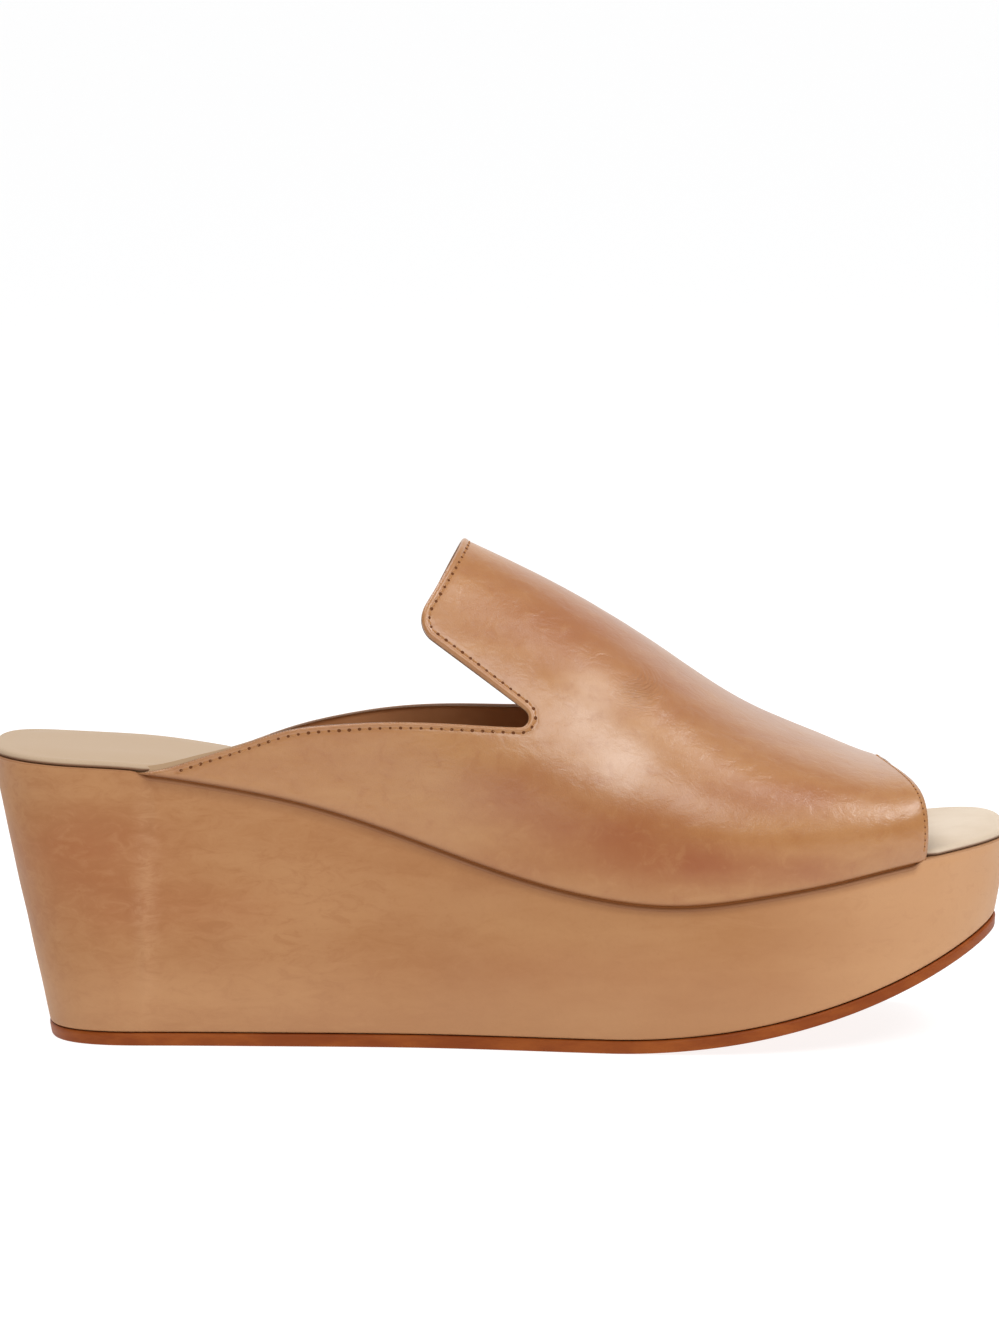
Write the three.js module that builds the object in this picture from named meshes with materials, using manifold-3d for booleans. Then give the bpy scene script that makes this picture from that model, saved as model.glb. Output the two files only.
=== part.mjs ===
// A wedge mule for the right foot, made of four solids: outsole, wedge, insole and upper.
// Millimetres. X runs from heel to toe, +Y is the medial (inner) side, Z is up and the floor is Z = 0.

import * as THREE from 'three';
import Module from 'manifold-3d';
import { mergeVertices } from 'three/addons/utils/BufferGeometryUtils.js';

const wasm = await Module();
wasm.setup();

// Driving sizes of the sole
const shoeLength = 252; // back of the heel to the tip of the toe
const heelWidth = 60; // across the wedge's top edge at the heel
const ballWidth = 87.5; // the same at the ball of the foot
const heelHeight = 69; // floor to the wedge's top at the heel
const ballHeight = 37.6; // the same at its lowest point, under the ball
const toeHeight = 49.4; // the same at the toe
const toeSpring = 26; // floor to the underside of the toe tip
const heelRake = 14; // how far the foot of the heel's back wall lies ahead of its top
const toeRake = 3.6; // how far the foot of the toe wall lies behind its top
const wallLean = 2.8; // how far the foot of each side wall lies inside its top
const outsoleThickness = 3.3;
const outsoleLedge = 0.3; // how far the outsole stands out past the line of the wedge's wall

// Driving sizes of the insole
const insoleEdge = 1; // height of its side
const insoleRoll = 1.5; // width of its rolled edge
const insoleThickness = 1.8; // just inside that edge
const insoleCrown = 0.8; // how much higher the padding stands along the middle
const insoleInset = 0.5; // its side behind the wedge's wall, at heel and toe

// Driving sizes of the upper
const upperWall = 2; // leather and lining together
const marginThickness = 0.8; // the skived edge, turned in under the insole
const marginWidth = 10;
const instepRise = 74; // wedge's top to the top of the tongue
const bulge = 2.4; // how far the upper swells past the wedge's edge at the ball
const collarRise = 38.1; // wedge's top to the lateral collar at the notch
const tongueSkew = 3; // how much further forward the tongue's medial corner lies than its lateral one
const notchRound = 2.3; // radius at the bottom of each notch
const tongueRound = 6; // radius at the rear corners of the tongue
const toeOpening = 220.9; // back of the heel to the upper's toe edge where it lies furthest back
const toeEdgeSweep = 7.5; // how much further forward that edge lies at the sides
const clearance = 0.3; // gap where two pieces meet

// The wedge's top along the shoe: shares of the rise from ball to heel, and from ball to toe.
const seatRows = [
  { along: 0.0, heel: 1.05, toe: 0.0 },
  { along: 0.08, heel: 1.0, toe: 0.0 },
  { along: 0.15, heel: 0.965, toe: 0.0 },
  { along: 0.22, heel: 0.885, toe: 0.0 },
  { along: 0.31, heel: 0.738, toe: 0.0 },
  { along: 0.4, heel: 0.51, toe: 0.0 },
  { along: 0.5, heel: 0.228, toe: 0.0 },
  { along: 0.58, heel: 0.065, toe: 0.0 },
  { along: 0.68, heel: 0.0, toe: 0.0 },
  { along: 0.75, heel: 0.0, toe: 0.185 },
  { along: 0.82, heel: 0.0, toe: 0.43 },
  { along: 0.88, heel: 0.0, toe: 0.68 },
  { along: 0.94, heel: 0.0, toe: 0.865 },
  { along: 1.0, heel: 0.0, toe: 1.0 },
];

// The wedge's plan: each side's half width as a share of the width there, before its ends are rounded.
// ball says how far that width has gone from heelWidth to ballWidth.
const planRows = [
  { along: 0.0, ball: 0.0, lateral: 0.5, medial: 0.5 },
  { along: 0.14, ball: 0.0, lateral: 0.5, medial: 0.495 },
  { along: 0.25, ball: 0.0, lateral: 0.515, medial: 0.5 },
  { along: 0.35, ball: 0.02, lateral: 0.527, medial: 0.475 },
  { along: 0.45, ball: 0.24, lateral: 0.514, medial: 0.416 },
  { along: 0.55, ball: 0.63, lateral: 0.506, medial: 0.407 },
  { along: 0.65, ball: 0.92, lateral: 0.512, medial: 0.443 },
  { along: 0.75, ball: 1.0, lateral: 0.514, medial: 0.48 },
  { along: 0.85, ball: 1.0, lateral: 0.514, medial: 0.489 },
  { along: 1.0, ball: 1.0, lateral: 0.514, medial: 0.47 },
];

// The rounding of the plan's ends: its reach as a share of the length, and the power of its curve,
// where 2 is an ellipse and more is blunter.
const endRounding = {
  lateral: { heelReach: 0.11, heelPower: 3, toeReach: 0.29, toePower: 2 },
  medial: { heelReach: 0.11, heelPower: 3, toeReach: 0.15, toePower: 4 },
};

// The upper's cross-sections. rise: height of the ridge above the wedge's top, a share of instepRise.
// ridge: how far it lies to the medial side, a share of ballWidth. lateral and medial: how far each side
// swells past the wedge's edge, shares of bulge.
const upperRows = [
  { along: 0.12, rise: 1.06, ridge: 0.04, lateral: 0.0, medial: 0.0 },
  { along: 0.3, rise: 1.05, ridge: 0.04, lateral: 0.1, medial: 0.2 },
  { along: 0.4, rise: 1.03, ridge: 0.04, lateral: 0.4, medial: 0.9 },
  { along: 0.46, rise: 1.0, ridge: 0.04, lateral: 0.6, medial: 1.3 },
  { along: 0.52, rise: 0.965, ridge: 0.04, lateral: 0.8, medial: 1.2 },
  { along: 0.58, rise: 0.907, ridge: 0.045, lateral: 0.95, medial: 0.9 },
  { along: 0.66, rise: 0.766, ridge: 0.05, lateral: 1.0, medial: 0.8 },
  { along: 0.74, rise: 0.562, ridge: 0.05, lateral: 0.95, medial: 0.7 },
  { along: 0.82, rise: 0.396, ridge: 0.04, lateral: 0.8, medial: 0.6 },
  { along: 0.88, rise: 0.291, ridge: -0.036, lateral: 0.9, medial: 0.5 },
  { along: 0.95, rise: 0.277, ridge: -0.03, lateral: 0.6, medial: 0.4 },
];

// The arch of each cross-section. widest: height of the widest point, a share of the rise. wall: how long
// the curve stays upright there, a share of its height. lateral and medial: how long it stays level at the
// ridge, shares of each side's width.
const archRows = [
  { along: 0.12, widest: 0.24, wall: 0.5, lateral: 0.5, medial: 0.5 },
  { along: 0.4, widest: 0.28, wall: 0.48, lateral: 0.48, medial: 0.48 },
  { along: 0.46, widest: 0.28, wall: 0.47, lateral: 0.47, medial: 0.47 },
  { along: 0.58, widest: 0.28, wall: 0.48, lateral: 0.48, medial: 0.48 },
  { along: 0.66, widest: 0.29, wall: 0.5, lateral: 0.5, medial: 0.5 },
  { along: 0.74, widest: 0.3, wall: 0.54, lateral: 0.52, medial: 0.52 },
  { along: 0.82, widest: 0.3, wall: 0.62, lateral: 0.63, medial: 0.55 },
  { along: 0.88, widest: 0.3, wall: 0.63, lateral: 0.735, medial: 0.52 },
  { along: 0.95, widest: 0.3, wall: 0.735, lateral: 0.745, medial: 0.52 },
];

// The collar on each side, from its tail to the notch: height above the wedge's top, shares of collarRise.
const collarRows = [
  { along: 0.14, lateral: -0.022, medial: -0.26 },
  { along: 0.17, lateral: 0.026, medial: -0.15 },
  { along: 0.21, lateral: 0.145, medial: -0.03 },
  { along: 0.25, lateral: 0.277, medial: 0.107 },
  { along: 0.29, lateral: 0.418, medial: 0.255 },
  { along: 0.335, lateral: 0.538, medial: 0.407 },
  { along: 0.4, lateral: 0.704, medial: 0.614 },
  { along: 0.47, lateral: 0.86, medial: 0.795 },
  { along: 0.545, lateral: 1.0, medial: 0.94 },
];

// Where the upper's outline turns, seen from the side: shares of the length, and of instepRise above
// the wedge's top.
const tailAlong = { lateral: 0.1405, medial: 0.212 };
const notchAlong = 0.545; // where collar and tongue edge would cross, were the notch not rounded
const collarEnd = 0.508; // where the collar's curve hands over to the notch's rounding
const tongueCorner = { along: 0.4147, rise: 0.693 };
const tongueTop = { along: 0.4623, rise: 1.0 };
const toeEdgeMiddle = 0.09; // where the toe edge lies furthest back, a share of ballWidth to the medial side
const toeSweepHalf = 0.42; // how far from there its sweep is reached, a share of ballWidth
const toeSweepPower = 1.5; // 2 would be a parabola, and less makes its sides straighter

// Where other sizes begin or end, as shares of the length
const springStart = 0.6; // the outsole leaves the floor
const heelRakeFade = 0.5; // the heel's rake has faded out
const toeRakeFade = 0.8; // the toe's rake sets in
const insoleStep = 0.012; // length over which the insole draws in to pass inside the upper
const insoleCrownInset = 0.16; // where the insole's crown is reached, a share of heelWidth

// How finely the curves are cut into flat faces
const soleStations = 56;
const upperStations = 44;
const lowerWallSteps = 3;
const upperWallSteps = 13;
const outlineSteps = 18;
const roundSteps = 6;
const settleSteps = 8; // rounds that find where the toe edge meets the wedge
const beyond = 40; // how far a cutter reaches past what it cuts

const sides = { lateral: -1, medial: 1 };
const mix = (from, to, t) => from + (to - from) * t;

// Eases from 0 at the first value to 1 at the second.
function ease(from, to, value) {
  const t = Math.min(Math.max((value - from) / (to - from), 0), 1);
  return t * t * (3 - 2 * t);
}

// A smooth curve through one column of a table (a natural cubic spline).
function smooth(rows, name) {
  const x = rows.map((row) => row.along);
  const y = rows.map((row) => row[name]);
  const bend = x.map(() => 0);
  const carry = x.map(() => 0);
  for (let i = 1; i < x.length - 1; i++) {
    const span = x[i + 1] - x[i - 1];
    const part = (x[i] - x[i - 1]) / span;
    const pivot = part * bend[i - 1] + 2;
    const kink = (y[i + 1] - y[i]) / (x[i + 1] - x[i]) - (y[i] - y[i - 1]) / (x[i] - x[i - 1]);
    bend[i] = (part - 1) / pivot;
    carry[i] = ((6 * kink) / span - part * carry[i - 1]) / pivot;
  }
  for (let i = x.length - 2; i >= 0; i--) {
    bend[i] = bend[i] * bend[i + 1] + carry[i];
  }
  return (along) => {
    let i = 0;
    while (i < x.length - 2 && along > x[i + 1]) i++;
    const h = x[i + 1] - x[i];
    const b = (along - x[i]) / h;
    const a = 1 - b;
    const curved = (a ** 3 - a) * bend[i] + (b ** 3 - b) * bend[i + 1];
    return a * y[i] + b * y[i + 1] + (curved * h * h) / 6;
  };
}

const seatHeel = smooth(seatRows, 'heel');
const seatToe = smooth(seatRows, 'toe');
const planBall = smooth(planRows, 'ball');
const planShare = { lateral: smooth(planRows, 'lateral'), medial: smooth(planRows, 'medial') };
const collarShare = { lateral: smooth(collarRows, 'lateral'), medial: smooth(collarRows, 'medial') };
const section = {
  rise: smooth(upperRows, 'rise'),
  ridge: smooth(upperRows, 'ridge'),
  lateral: smooth(upperRows, 'lateral'),
  medial: smooth(upperRows, 'medial'),
};
const arch = {
  widest: smooth(archRows, 'widest'),
  wall: smooth(archRows, 'wall'),
  lateral: smooth(archRows, 'lateral'),
  medial: smooth(archRows, 'medial'),
};

// Height of the wedge's top, which the insole lies on.
function seat(along) {
  const heel = (heelHeight - ballHeight) * seatHeel(along);
  const toe = (toeHeight - ballHeight) * seatToe(along);
  return ballHeight + heel + toe;
}

// One end of the plan: 1 past its reach, falling to 0 at the end itself.
function endRound(distance, reach, power) {
  if (distance >= reach) return 1;
  return (1 - (1 - distance / reach) ** power) ** (1 / power);
}

// Half width of the wedge's top edge on one side.
function halfWidth(side, along) {
  const end = endRounding[side];
  const width = mix(heelWidth, ballWidth, planBall(along));
  const heel = endRound(along, end.heelReach, end.heelPower);
  const toe = endRound(1 - along, end.toeReach, end.toePower);
  return width * planShare[side](along) * heel * toe;
}

// Height of the outsole's underside: flat, then an arc up to the toe.
function tread(x) {
  const start = springStart * shoeLength;
  const run = shoeLength - toeRake - start;
  const radius = (run * run + toeSpring * toeSpring) / (2 * toeSpring);
  const past = Math.max(x - start, 0);
  return radius - Math.sqrt(radius * radius - past * past);
}

// A closed outline round the sole, seen from above, at a share of the wall's height: 0 at its foot, 1 at
// its top. It runs forward from the heel on the lateral side and back on the medial side, and inset says
// how far inside the wall it lies.
function soleOutline(level, inset) {
  const shares = [];
  for (let i = 0; i <= soleStations; i++) {
    shares.push((1 - Math.cos((Math.PI * i) / soleStations)) / 2);
  }
  const place = (side, along) => {
    const rake = heelRake * (1 - ease(0, heelRakeFade, along)) - toeRake * ease(toeRakeFade, 1, along);
    const narrow = 1 - ((1 - level) * 2 * wallLean) / ballWidth;
    const x = along * shoeLength + (1 - level) * rake;
    return { side, along, x, y: sides[side] * halfWidth(side, along) * narrow };
  };
  const lateral = shares.map((along) => place('lateral', along));
  const medial = shares.slice(1, -1).reverse().map((along) => place('medial', along));
  const ring = [...lateral, ...medial];
  return ring.map((point, i) => {
    const before = ring[(i + ring.length - 1) % ring.length];
    const after = ring[(i + 1) % ring.length];
    const length = Math.hypot(after.x - before.x, after.y - before.y);
    const by = inset(point.side, point.along);
    const x = point.x - (by * (after.y - before.y)) / length;
    const y = point.y + (by * (after.x - before.x)) / length;
    return { along: point.along, x, y };
  });
}

// A solid from corner points and triangles.
function solidFrom(points, triangles) {
  const vertProperties = new Float32Array(points.flat());
  const triVerts = new Uint32Array(triangles.flat());
  return new wasm.Manifold(new wasm.Mesh({ numProp: 3, vertProperties, triVerts }));
}

// A solid from outlines stacked upwards, each a closed ring of [x, y, z], with flat strips across the
// shoe for its underside and top.
function stackedSolid(levels) {
  const count = levels[0].length;
  const half = count / 2;
  const top = (levels.length - 1) * count;
  const triangles = [];
  const quad = (a, b, c, d) => triangles.push([a, b, c], [a, c, d]);
  for (let k = 0; k + 1 < levels.length; k++) {
    for (let i = 0; i < count; i++) {
      const next = (i + 1) % count;
      quad(k * count + i, k * count + next, (k + 1) * count + next, (k + 1) * count + i);
    }
  }
  const strip = (a, b, c) => triangles.push([a, c, b], [top + a, top + b, top + c]);
  for (let i = 0; i < half; i++) {
    const here = (count - i) % count;
    const ahead = count - i - 1;
    if (ahead !== i + 1) strip(i, i + 1, ahead);
    if (here !== i) strip(i, ahead, here);
  }
  return solidFrom(levels.flat(), triangles);
}

// A solid sheet between two grids of points that match one to one.
function sheetSolid(outer, inner) {
  const rows = outer.length;
  const columns = outer[0].length;
  const id = (layer, i, j) => (layer * rows + i) * columns + j;
  const triangles = [];
  const quad = (a, b, c, d) => triangles.push([a, b, c], [a, c, d]);
  for (let i = 0; i + 1 < rows; i++) {
    for (let j = 0; j + 1 < columns; j++) {
      quad(id(0, i, j), id(0, i + 1, j), id(0, i + 1, j + 1), id(0, i, j + 1));
      quad(id(1, i, j), id(1, i, j + 1), id(1, i + 1, j + 1), id(1, i + 1, j));
    }
    const last = columns - 1;
    quad(id(0, i + 1, 0), id(0, i, 0), id(1, i, 0), id(1, i + 1, 0));
    quad(id(0, i, last), id(0, i + 1, last), id(1, i + 1, last), id(1, i, last));
  }
  for (let j = 0; j + 1 < columns; j++) {
    const last = rows - 1;
    quad(id(0, 0, j), id(0, 0, j + 1), id(1, 0, j + 1), id(1, 0, j));
    quad(id(0, last, j + 1), id(0, last, j), id(1, last, j), id(1, last, j + 1));
  }
  return solidFrom([...outer.flat(), ...inner.flat()], triangles);
}

// A prism from an outline of [u, v] points, pushed by depth along its third axis and then placed.
function prism(outline, depth, matrix) {
  const shape = new THREE.Shape(outline.map(([u, v]) => new THREE.Vector2(u, v)));
  const extruded = new THREE.ExtrudeGeometry(shape, { depth, bevelEnabled: false, steps: 1 });
  extruded.deleteAttribute('normal');
  extruded.deleteAttribute('uv');
  extruded.applyMatrix4(matrix);
  const geometry = mergeVertices(extruded);
  const vertProperties = new Float32Array(geometry.attributes.position.array);
  const triVerts = new Uint32Array(geometry.index.array);
  return new wasm.Manifold(new wasm.Mesh({ numProp: 3, vertProperties, triVerts }));
}

// An arc that rounds the corner between two neighbours, as points.
function roundedCorner(before, corner, after, radius) {
  const origin = new THREE.Vector2(...corner);
  const toBefore = new THREE.Vector2(...before).sub(origin).normalize();
  const toAfter = new THREE.Vector2(...after).sub(origin).normalize();
  const half = Math.acos(toBefore.dot(toAfter)) / 2;
  const reach = radius / Math.tan(half);
  const centre = toBefore.clone().add(toAfter).setLength(radius / Math.sin(half)).add(origin);
  const from = toBefore.multiplyScalar(reach).add(origin).sub(centre);
  const to = toAfter.multiplyScalar(reach).add(origin).sub(centre);
  const turn = Math.PI - 2 * half;
  const points = [];
  for (let i = 0; i <= roundSteps; i++) {
    const a = Math.sin((1 - i / roundSteps) * turn) / Math.sin(turn);
    const b = Math.sin((i / roundSteps) * turn) / Math.sin(turn);
    points.push([centre.x + a * from.x + b * to.x, centre.y + a * from.y + b * to.y]);
  }
  return points;
}

// Outsole: a slab under the wedge's foot, standing out a little all round.
function makeOutsole() {
  const ring = soleOutline(-outsoleThickness / heelHeight, () => -outsoleLedge);
  const under = ring.map((p) => [p.x, p.y, tread(p.x)]);
  const over = ring.map((p) => [p.x, p.y, tread(p.x) + outsoleThickness]);
  return stackedSolid([under, over]);
}

// Wedge: straight walls from the outsole up to the seat, with a recess for the upper's margin.
function makeWedge() {
  const foot = soleOutline(0, () => 0);
  const top = soleOutline(1, () => 0);
  const under = foot.map((p) => [p.x, p.y, tread(p.x) + outsoleThickness + clearance]);
  const over = top.map((p) => [p.x, p.y, seat(p.along)]);
  let wedge = stackedSolid([under, over]);
  for (const side of Object.keys(sides)) {
    wedge = wedge.subtract(marginRecess(side));
  }
  return wedge;
}

// Where the upper's toe edge lies, for a place across the shoe.
function toeEdge(y) {
  const out = Math.abs(y / ballWidth - toeEdgeMiddle) / toeSweepHalf;
  return toeOpening + toeEdgeSweep * out ** toeSweepPower;
}

// Where the toe edge comes down to the wedge on one side, as a share of the length.
function toeEdgeAlong(side) {
  let along = toeOpening / shoeLength;
  for (let i = 0; i < settleSteps; i++) along = toeEdge(sides[side] * halfWidth(side, along)) / shoeLength;
  return along;
}

// How far the insole's side lies inside the wedge's wall: further where the upper passes round it.
function insoleSide(side, along) {
  const tail = tailAlong[side] - clearance / shoeLength;
  const toe = toeEdgeAlong(side) + clearance / shoeLength;
  const enter = ease(tail - insoleStep, tail, along);
  const leave = ease(toe, toe + insoleStep, along);
  return mix(insoleInset, upperWall + clearance, enter * (1 - leave));
}

// Insole: a padded sheet on the wedge's top with a rolled edge, crowned along its middle.
function makeInsole() {
  const level = (inset, height) =>
    soleOutline(1, (side, along) => insoleSide(side, along) + inset).map((p) => {
      return [p.x, p.y, seat(p.along) + height];
    });
  return stackedSolid([
    level(0, clearance),
    level(0, clearance + insoleEdge),
    level(insoleRoll, insoleThickness),
    level(insoleCrownInset * heelWidth, insoleThickness + insoleCrown),
  ]);
}

// Outer line of the upper's cross-section on one side, from the wedge's edge up to the ridge: [y, z].
function sectionLine(side, along) {
  const sign = sides[side];
  const base = seat(along) - marginThickness;
  const edge = sign * halfWidth(side, along);
  const wide = edge + sign * bulge * section[side](along);
  const rise = instepRise * section.rise(along);
  const top = seat(along) + rise;
  const widest = seat(along) + rise * arch.widest(along);
  const ridge = ballWidth * section.ridge(along);
  const line = [];
  for (let i = 0; i < lowerWallSteps; i++) {
    const t = i / lowerWallSteps;
    line.push([mix(edge, wide, 1 - (1 - t) ** 2), mix(base, widest, t)]);
  }
  const upright = mix(widest, top, arch.wall(along));
  const level = mix(ridge, wide, arch[side](along));
  const curve = new THREE.CubicBezierCurve(
    new THREE.Vector2(wide, widest),
    new THREE.Vector2(wide, upright),
    new THREE.Vector2(level, top),
    new THREE.Vector2(ridge, top),
  );
  for (const spot of curve.getPoints(upperWallSteps)) line.push([spot.x, spot.y]);
  return line;
}

// The upper's outside as a grid of points: a row for each section, from wedge edge to wedge edge.
function upperGrid() {
  const first = upperRows[0].along;
  const last = upperRows[upperRows.length - 1].along;
  const rows = [];
  for (let i = 0; i <= upperStations; i++) {
    const along = mix(first, last, i / upperStations);
    const lateral = sectionLine('lateral', along);
    const medial = sectionLine('medial', along).reverse().slice(1);
    rows.push({ along, points: [...lateral, ...medial].map(([y, z]) => [along * shoeLength, y, z]) });
  }
  return rows;
}

// The same point one wall's thickness further in, square to the surface.
function inward(grid, i, j) {
  const at = (row, column) => new THREE.Vector3(...grid[row].points[column]);
  const forward = at(Math.min(i + 1, grid.length - 1), j).sub(at(Math.max(i - 1, 0), j));
  const columns = grid[i].points.length;
  const across = at(i, Math.min(j + 1, columns - 1)).sub(at(i, Math.max(j - 1, 0)));
  const normal = forward.cross(across).setLength(upperWall);
  const [x, y, z] = grid[i].points[j];
  return [x - normal.x, y - normal.y, z - normal.z];
}

// What the upper keeps of one side, seen from the side: all that lies below and ahead of its collar,
// notch and tongue edge.
function sideKeep(side) {
  const sign = sides[side];
  const low = -beyond;
  const tail = tailAlong[side];
  const skew = side === 'medial' ? tongueSkew : 0;
  const outline = [[tail * shoeLength, low]];
  const collarAt = (along) => [along * shoeLength, seat(along) + collarRise * collarShare[side](along)];
  for (let i = 0; i <= outlineSteps; i++) {
    outline.push(collarAt(mix(tail, collarEnd, i / outlineSteps)));
  }
  const riseAt = ({ along, rise }, shift) => [along * shoeLength + shift, seat(along) + rise * instepRise];
  const notch = collarAt(notchAlong);
  const corner = riseAt(tongueCorner, skew);
  const top = riseAt(tongueTop, 0);
  outline.push(...roundedCorner(outline[outline.length - 1], notch, corner, notchRound));
  outline.push(...roundedCorner(notch, corner, top, tongueRound));
  const steep = (top[0] - corner[0]) / (top[1] - corner[1]);
  outline.push(top, [top[0] + beyond * steep, top[1] + beyond]);
  outline.push([shoeLength + beyond, top[1] + beyond], [shoeLength + beyond, low]);
  const standing = new THREE.Matrix4().makeRotationX(Math.PI / 2);
  const ridge = ballWidth * section.ridge(tongueTop.along);
  const shift = side === 'medial' ? ballWidth + ridge : ridge;
  const placed = new THREE.Matrix4().makeTranslation(0, shift, 0).multiply(standing);
  return prism(outline, ballWidth, placed);
}

// What the upper keeps behind its toe edge, seen from above: the edge curves forward to each side.
function toeKeep(grow) {
  const outline = [];
  for (let i = 0; i <= 2 * outlineSteps; i++) {
    const y = mix(-ballWidth, ballWidth, i / (2 * outlineSteps));
    outline.push([toeEdge(y) + grow, y]);
  }
  outline.push([0, ballWidth], [0, -ballWidth]);
  return prism(outline, heelHeight + instepRise + beyond, new THREE.Matrix4());
}

// The recess in the wedge's top edge that takes the upper's margin on one side.
function marginRecess(side) {
  const sign = sides[side];
  const top = [];
  const bottom = [];
  for (let i = 0; i <= upperStations; i++) {
    const along = mix(tailAlong[side] - clearance / shoeLength, upperRows.at(-1).along, i / upperStations);
    const edge = halfWidth(side, along);
    const wide = sign * (edge + beyond);
    const narrow = sign * (edge - marginWidth - clearance);
    const x = along * shoeLength;
    const across = sign < 0 ? [wide, narrow] : [narrow, wide];
    top.push(across.map((y) => [x, y, seat(along) + beyond]));
    bottom.push(across.map((y) => [x, y, seat(along) - marginThickness - clearance]));
  }
  return sheetSolid(top, bottom).intersect(toeKeep(clearance));
}

// Upper: one shell from margin to margin, cut to the outline of collar, notches, tongue and toe edge.
function makeUpper() {
  const grid = upperGrid();
  const outer = [];
  const inner = [];
  grid.forEach(({ along, points }, i) => {
    const [x, lateralEdge, base] = points[0];
    const medialEdge = points[points.length - 1][1];
    const margin = [lateralEdge + marginWidth, medialEdge - marginWidth];
    const high = seat(along);
    const inside = points.map((point, j) => inward(grid, i, j));
    inside[0] = [x, lateralEdge + upperWall, high];
    inside[inside.length - 1] = [x, medialEdge - upperWall, high];
    outer.push([[x, margin[0], base], ...points, [x, margin[1], base]]);
    inner.push([[x, margin[0], high], ...inside, [x, margin[1], high]]);
  });
  const keep = sideKeep('lateral').add(sideKeep('medial'));
  return sheetSolid(outer, inner).intersect(keep).intersect(toeKeep(0));
}

// A named mesh from a solid.
function piece(name, solid, finish) {
  const mesh = solid.getMesh();
  const geometry = new THREE.BufferGeometry();
  const corners = new Float32Array(mesh.vertProperties);
  geometry.setAttribute('position', new THREE.BufferAttribute(corners, mesh.numProp));
  geometry.setIndex(new THREE.BufferAttribute(new Uint32Array(mesh.triVerts), 1));
  geometry.computeVertexNormals();
  const result = new THREE.Mesh(geometry, new THREE.MeshStandardMaterial(finish));
  result.name = name;
  return result;
}

const shoe = new THREE.Group();
shoe.add(piece('outsole', makeOutsole(), { color: 0xa05a2c, roughness: 0.55, metalness: 0 }));
shoe.add(piece('wedge', makeWedge(), { color: 0xc39468, roughness: 0.5, metalness: 0 }));
shoe.add(piece('insole', makeInsole(), { color: 0xddc9b2, roughness: 0.7, metalness: 0 }));
shoe.add(piece('upper', makeUpper(), { color: 0xc08f63, roughness: 0.35, metalness: 0 }));

// The origin is on the floor, in the middle of the shoe's length and width.
const middle = new THREE.Box3().setFromObject(shoe).getCenter(new THREE.Vector3());
shoe.position.set(-middle.x, -middle.y, 0);

export default shoe;
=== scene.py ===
import math
import random

import bmesh
import bpy
import numpy as np
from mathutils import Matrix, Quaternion, Vector
from mathutils.bvhtree import BVHTree
from mathutils.geometry import delaunay_2d_cdt
from mathutils.kdtree import KDTree


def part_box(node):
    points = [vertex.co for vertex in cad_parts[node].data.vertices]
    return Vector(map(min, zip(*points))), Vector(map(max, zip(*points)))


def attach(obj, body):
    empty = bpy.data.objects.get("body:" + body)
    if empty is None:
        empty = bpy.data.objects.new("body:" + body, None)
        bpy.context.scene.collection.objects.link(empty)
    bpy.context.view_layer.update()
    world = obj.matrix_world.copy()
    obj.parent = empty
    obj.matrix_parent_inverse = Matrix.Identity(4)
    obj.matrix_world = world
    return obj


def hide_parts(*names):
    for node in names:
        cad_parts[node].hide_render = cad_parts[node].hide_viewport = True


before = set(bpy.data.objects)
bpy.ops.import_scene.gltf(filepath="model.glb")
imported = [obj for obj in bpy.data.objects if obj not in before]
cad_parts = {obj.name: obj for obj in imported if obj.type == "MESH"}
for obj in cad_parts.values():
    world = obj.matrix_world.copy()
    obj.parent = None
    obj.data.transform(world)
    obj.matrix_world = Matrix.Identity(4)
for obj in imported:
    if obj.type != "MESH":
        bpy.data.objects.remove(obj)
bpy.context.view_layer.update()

MM = 0.001

# Driving sizes of the shoe, in millimetres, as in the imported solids
shoe_length = 252
heel_width = 60
ball_width = 87.5
heel_height = 69
ball_height = 37.6
toe_height = 49.4
toe_spring = 26
heel_rake = 14
toe_rake = 3.6
wall_lean = 2.8
outsole_thickness = 3.3
outsole_ledge = 0.3
insole_crown = 0.8
insole_inset = 0.5
upper_wall = 2
margin = 0.8
instep_rise = 74
bulge = 2.4
collar_rise = 38.1
tongue_skew = 3
notch_round = 2.3
tongue_round = 6
toe_opening = 220.9
toe_edge_sweep = 7.5
clearance = 0.3


def table(names, *rows):
    """Rows of values as dictionaries under the given names."""
    return [dict(zip(names.split(), row)) for row in rows]


# The wedge's top: shares of the rise from ball to heel and from ball to toe
seat_rows = table(
    "along heel toe",
    (0.0, 1.05, 0.0),
    (0.08, 1.0, 0.0),
    (0.15, 0.965, 0.0),
    (0.22, 0.885, 0.0),
    (0.31, 0.738, 0.0),
    (0.4, 0.51, 0.0),
    (0.5, 0.228, 0.0),
    (0.58, 0.065, 0.0),
    (0.68, 0.0, 0.0),
    (0.75, 0.0, 0.185),
    (0.82, 0.0, 0.43),
    (0.88, 0.0, 0.68),
    (0.94, 0.0, 0.865),
    (1.0, 0.0, 1.0),
)

# The wedge's plan: how far its width has gone from heel to ball, and each side's share of it
plan_rows = table(
    "along ball lateral medial",
    (0.0, 0.0, 0.5, 0.5),
    (0.14, 0.0, 0.5, 0.495),
    (0.25, 0.0, 0.515, 0.5),
    (0.35, 0.02, 0.527, 0.475),
    (0.45, 0.24, 0.514, 0.416),
    (0.55, 0.63, 0.506, 0.407),
    (0.65, 0.92, 0.512, 0.443),
    (0.75, 1.0, 0.514, 0.48),
    (0.85, 1.0, 0.514, 0.489),
    (1.0, 1.0, 0.514, 0.47),
)
end_rounding = dict(
    lateral=dict(heel_reach=0.11, heel_power=3, toe_reach=0.29, toe_power=2),
    medial=dict(heel_reach=0.11, heel_power=3, toe_reach=0.15, toe_power=4),
)

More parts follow.
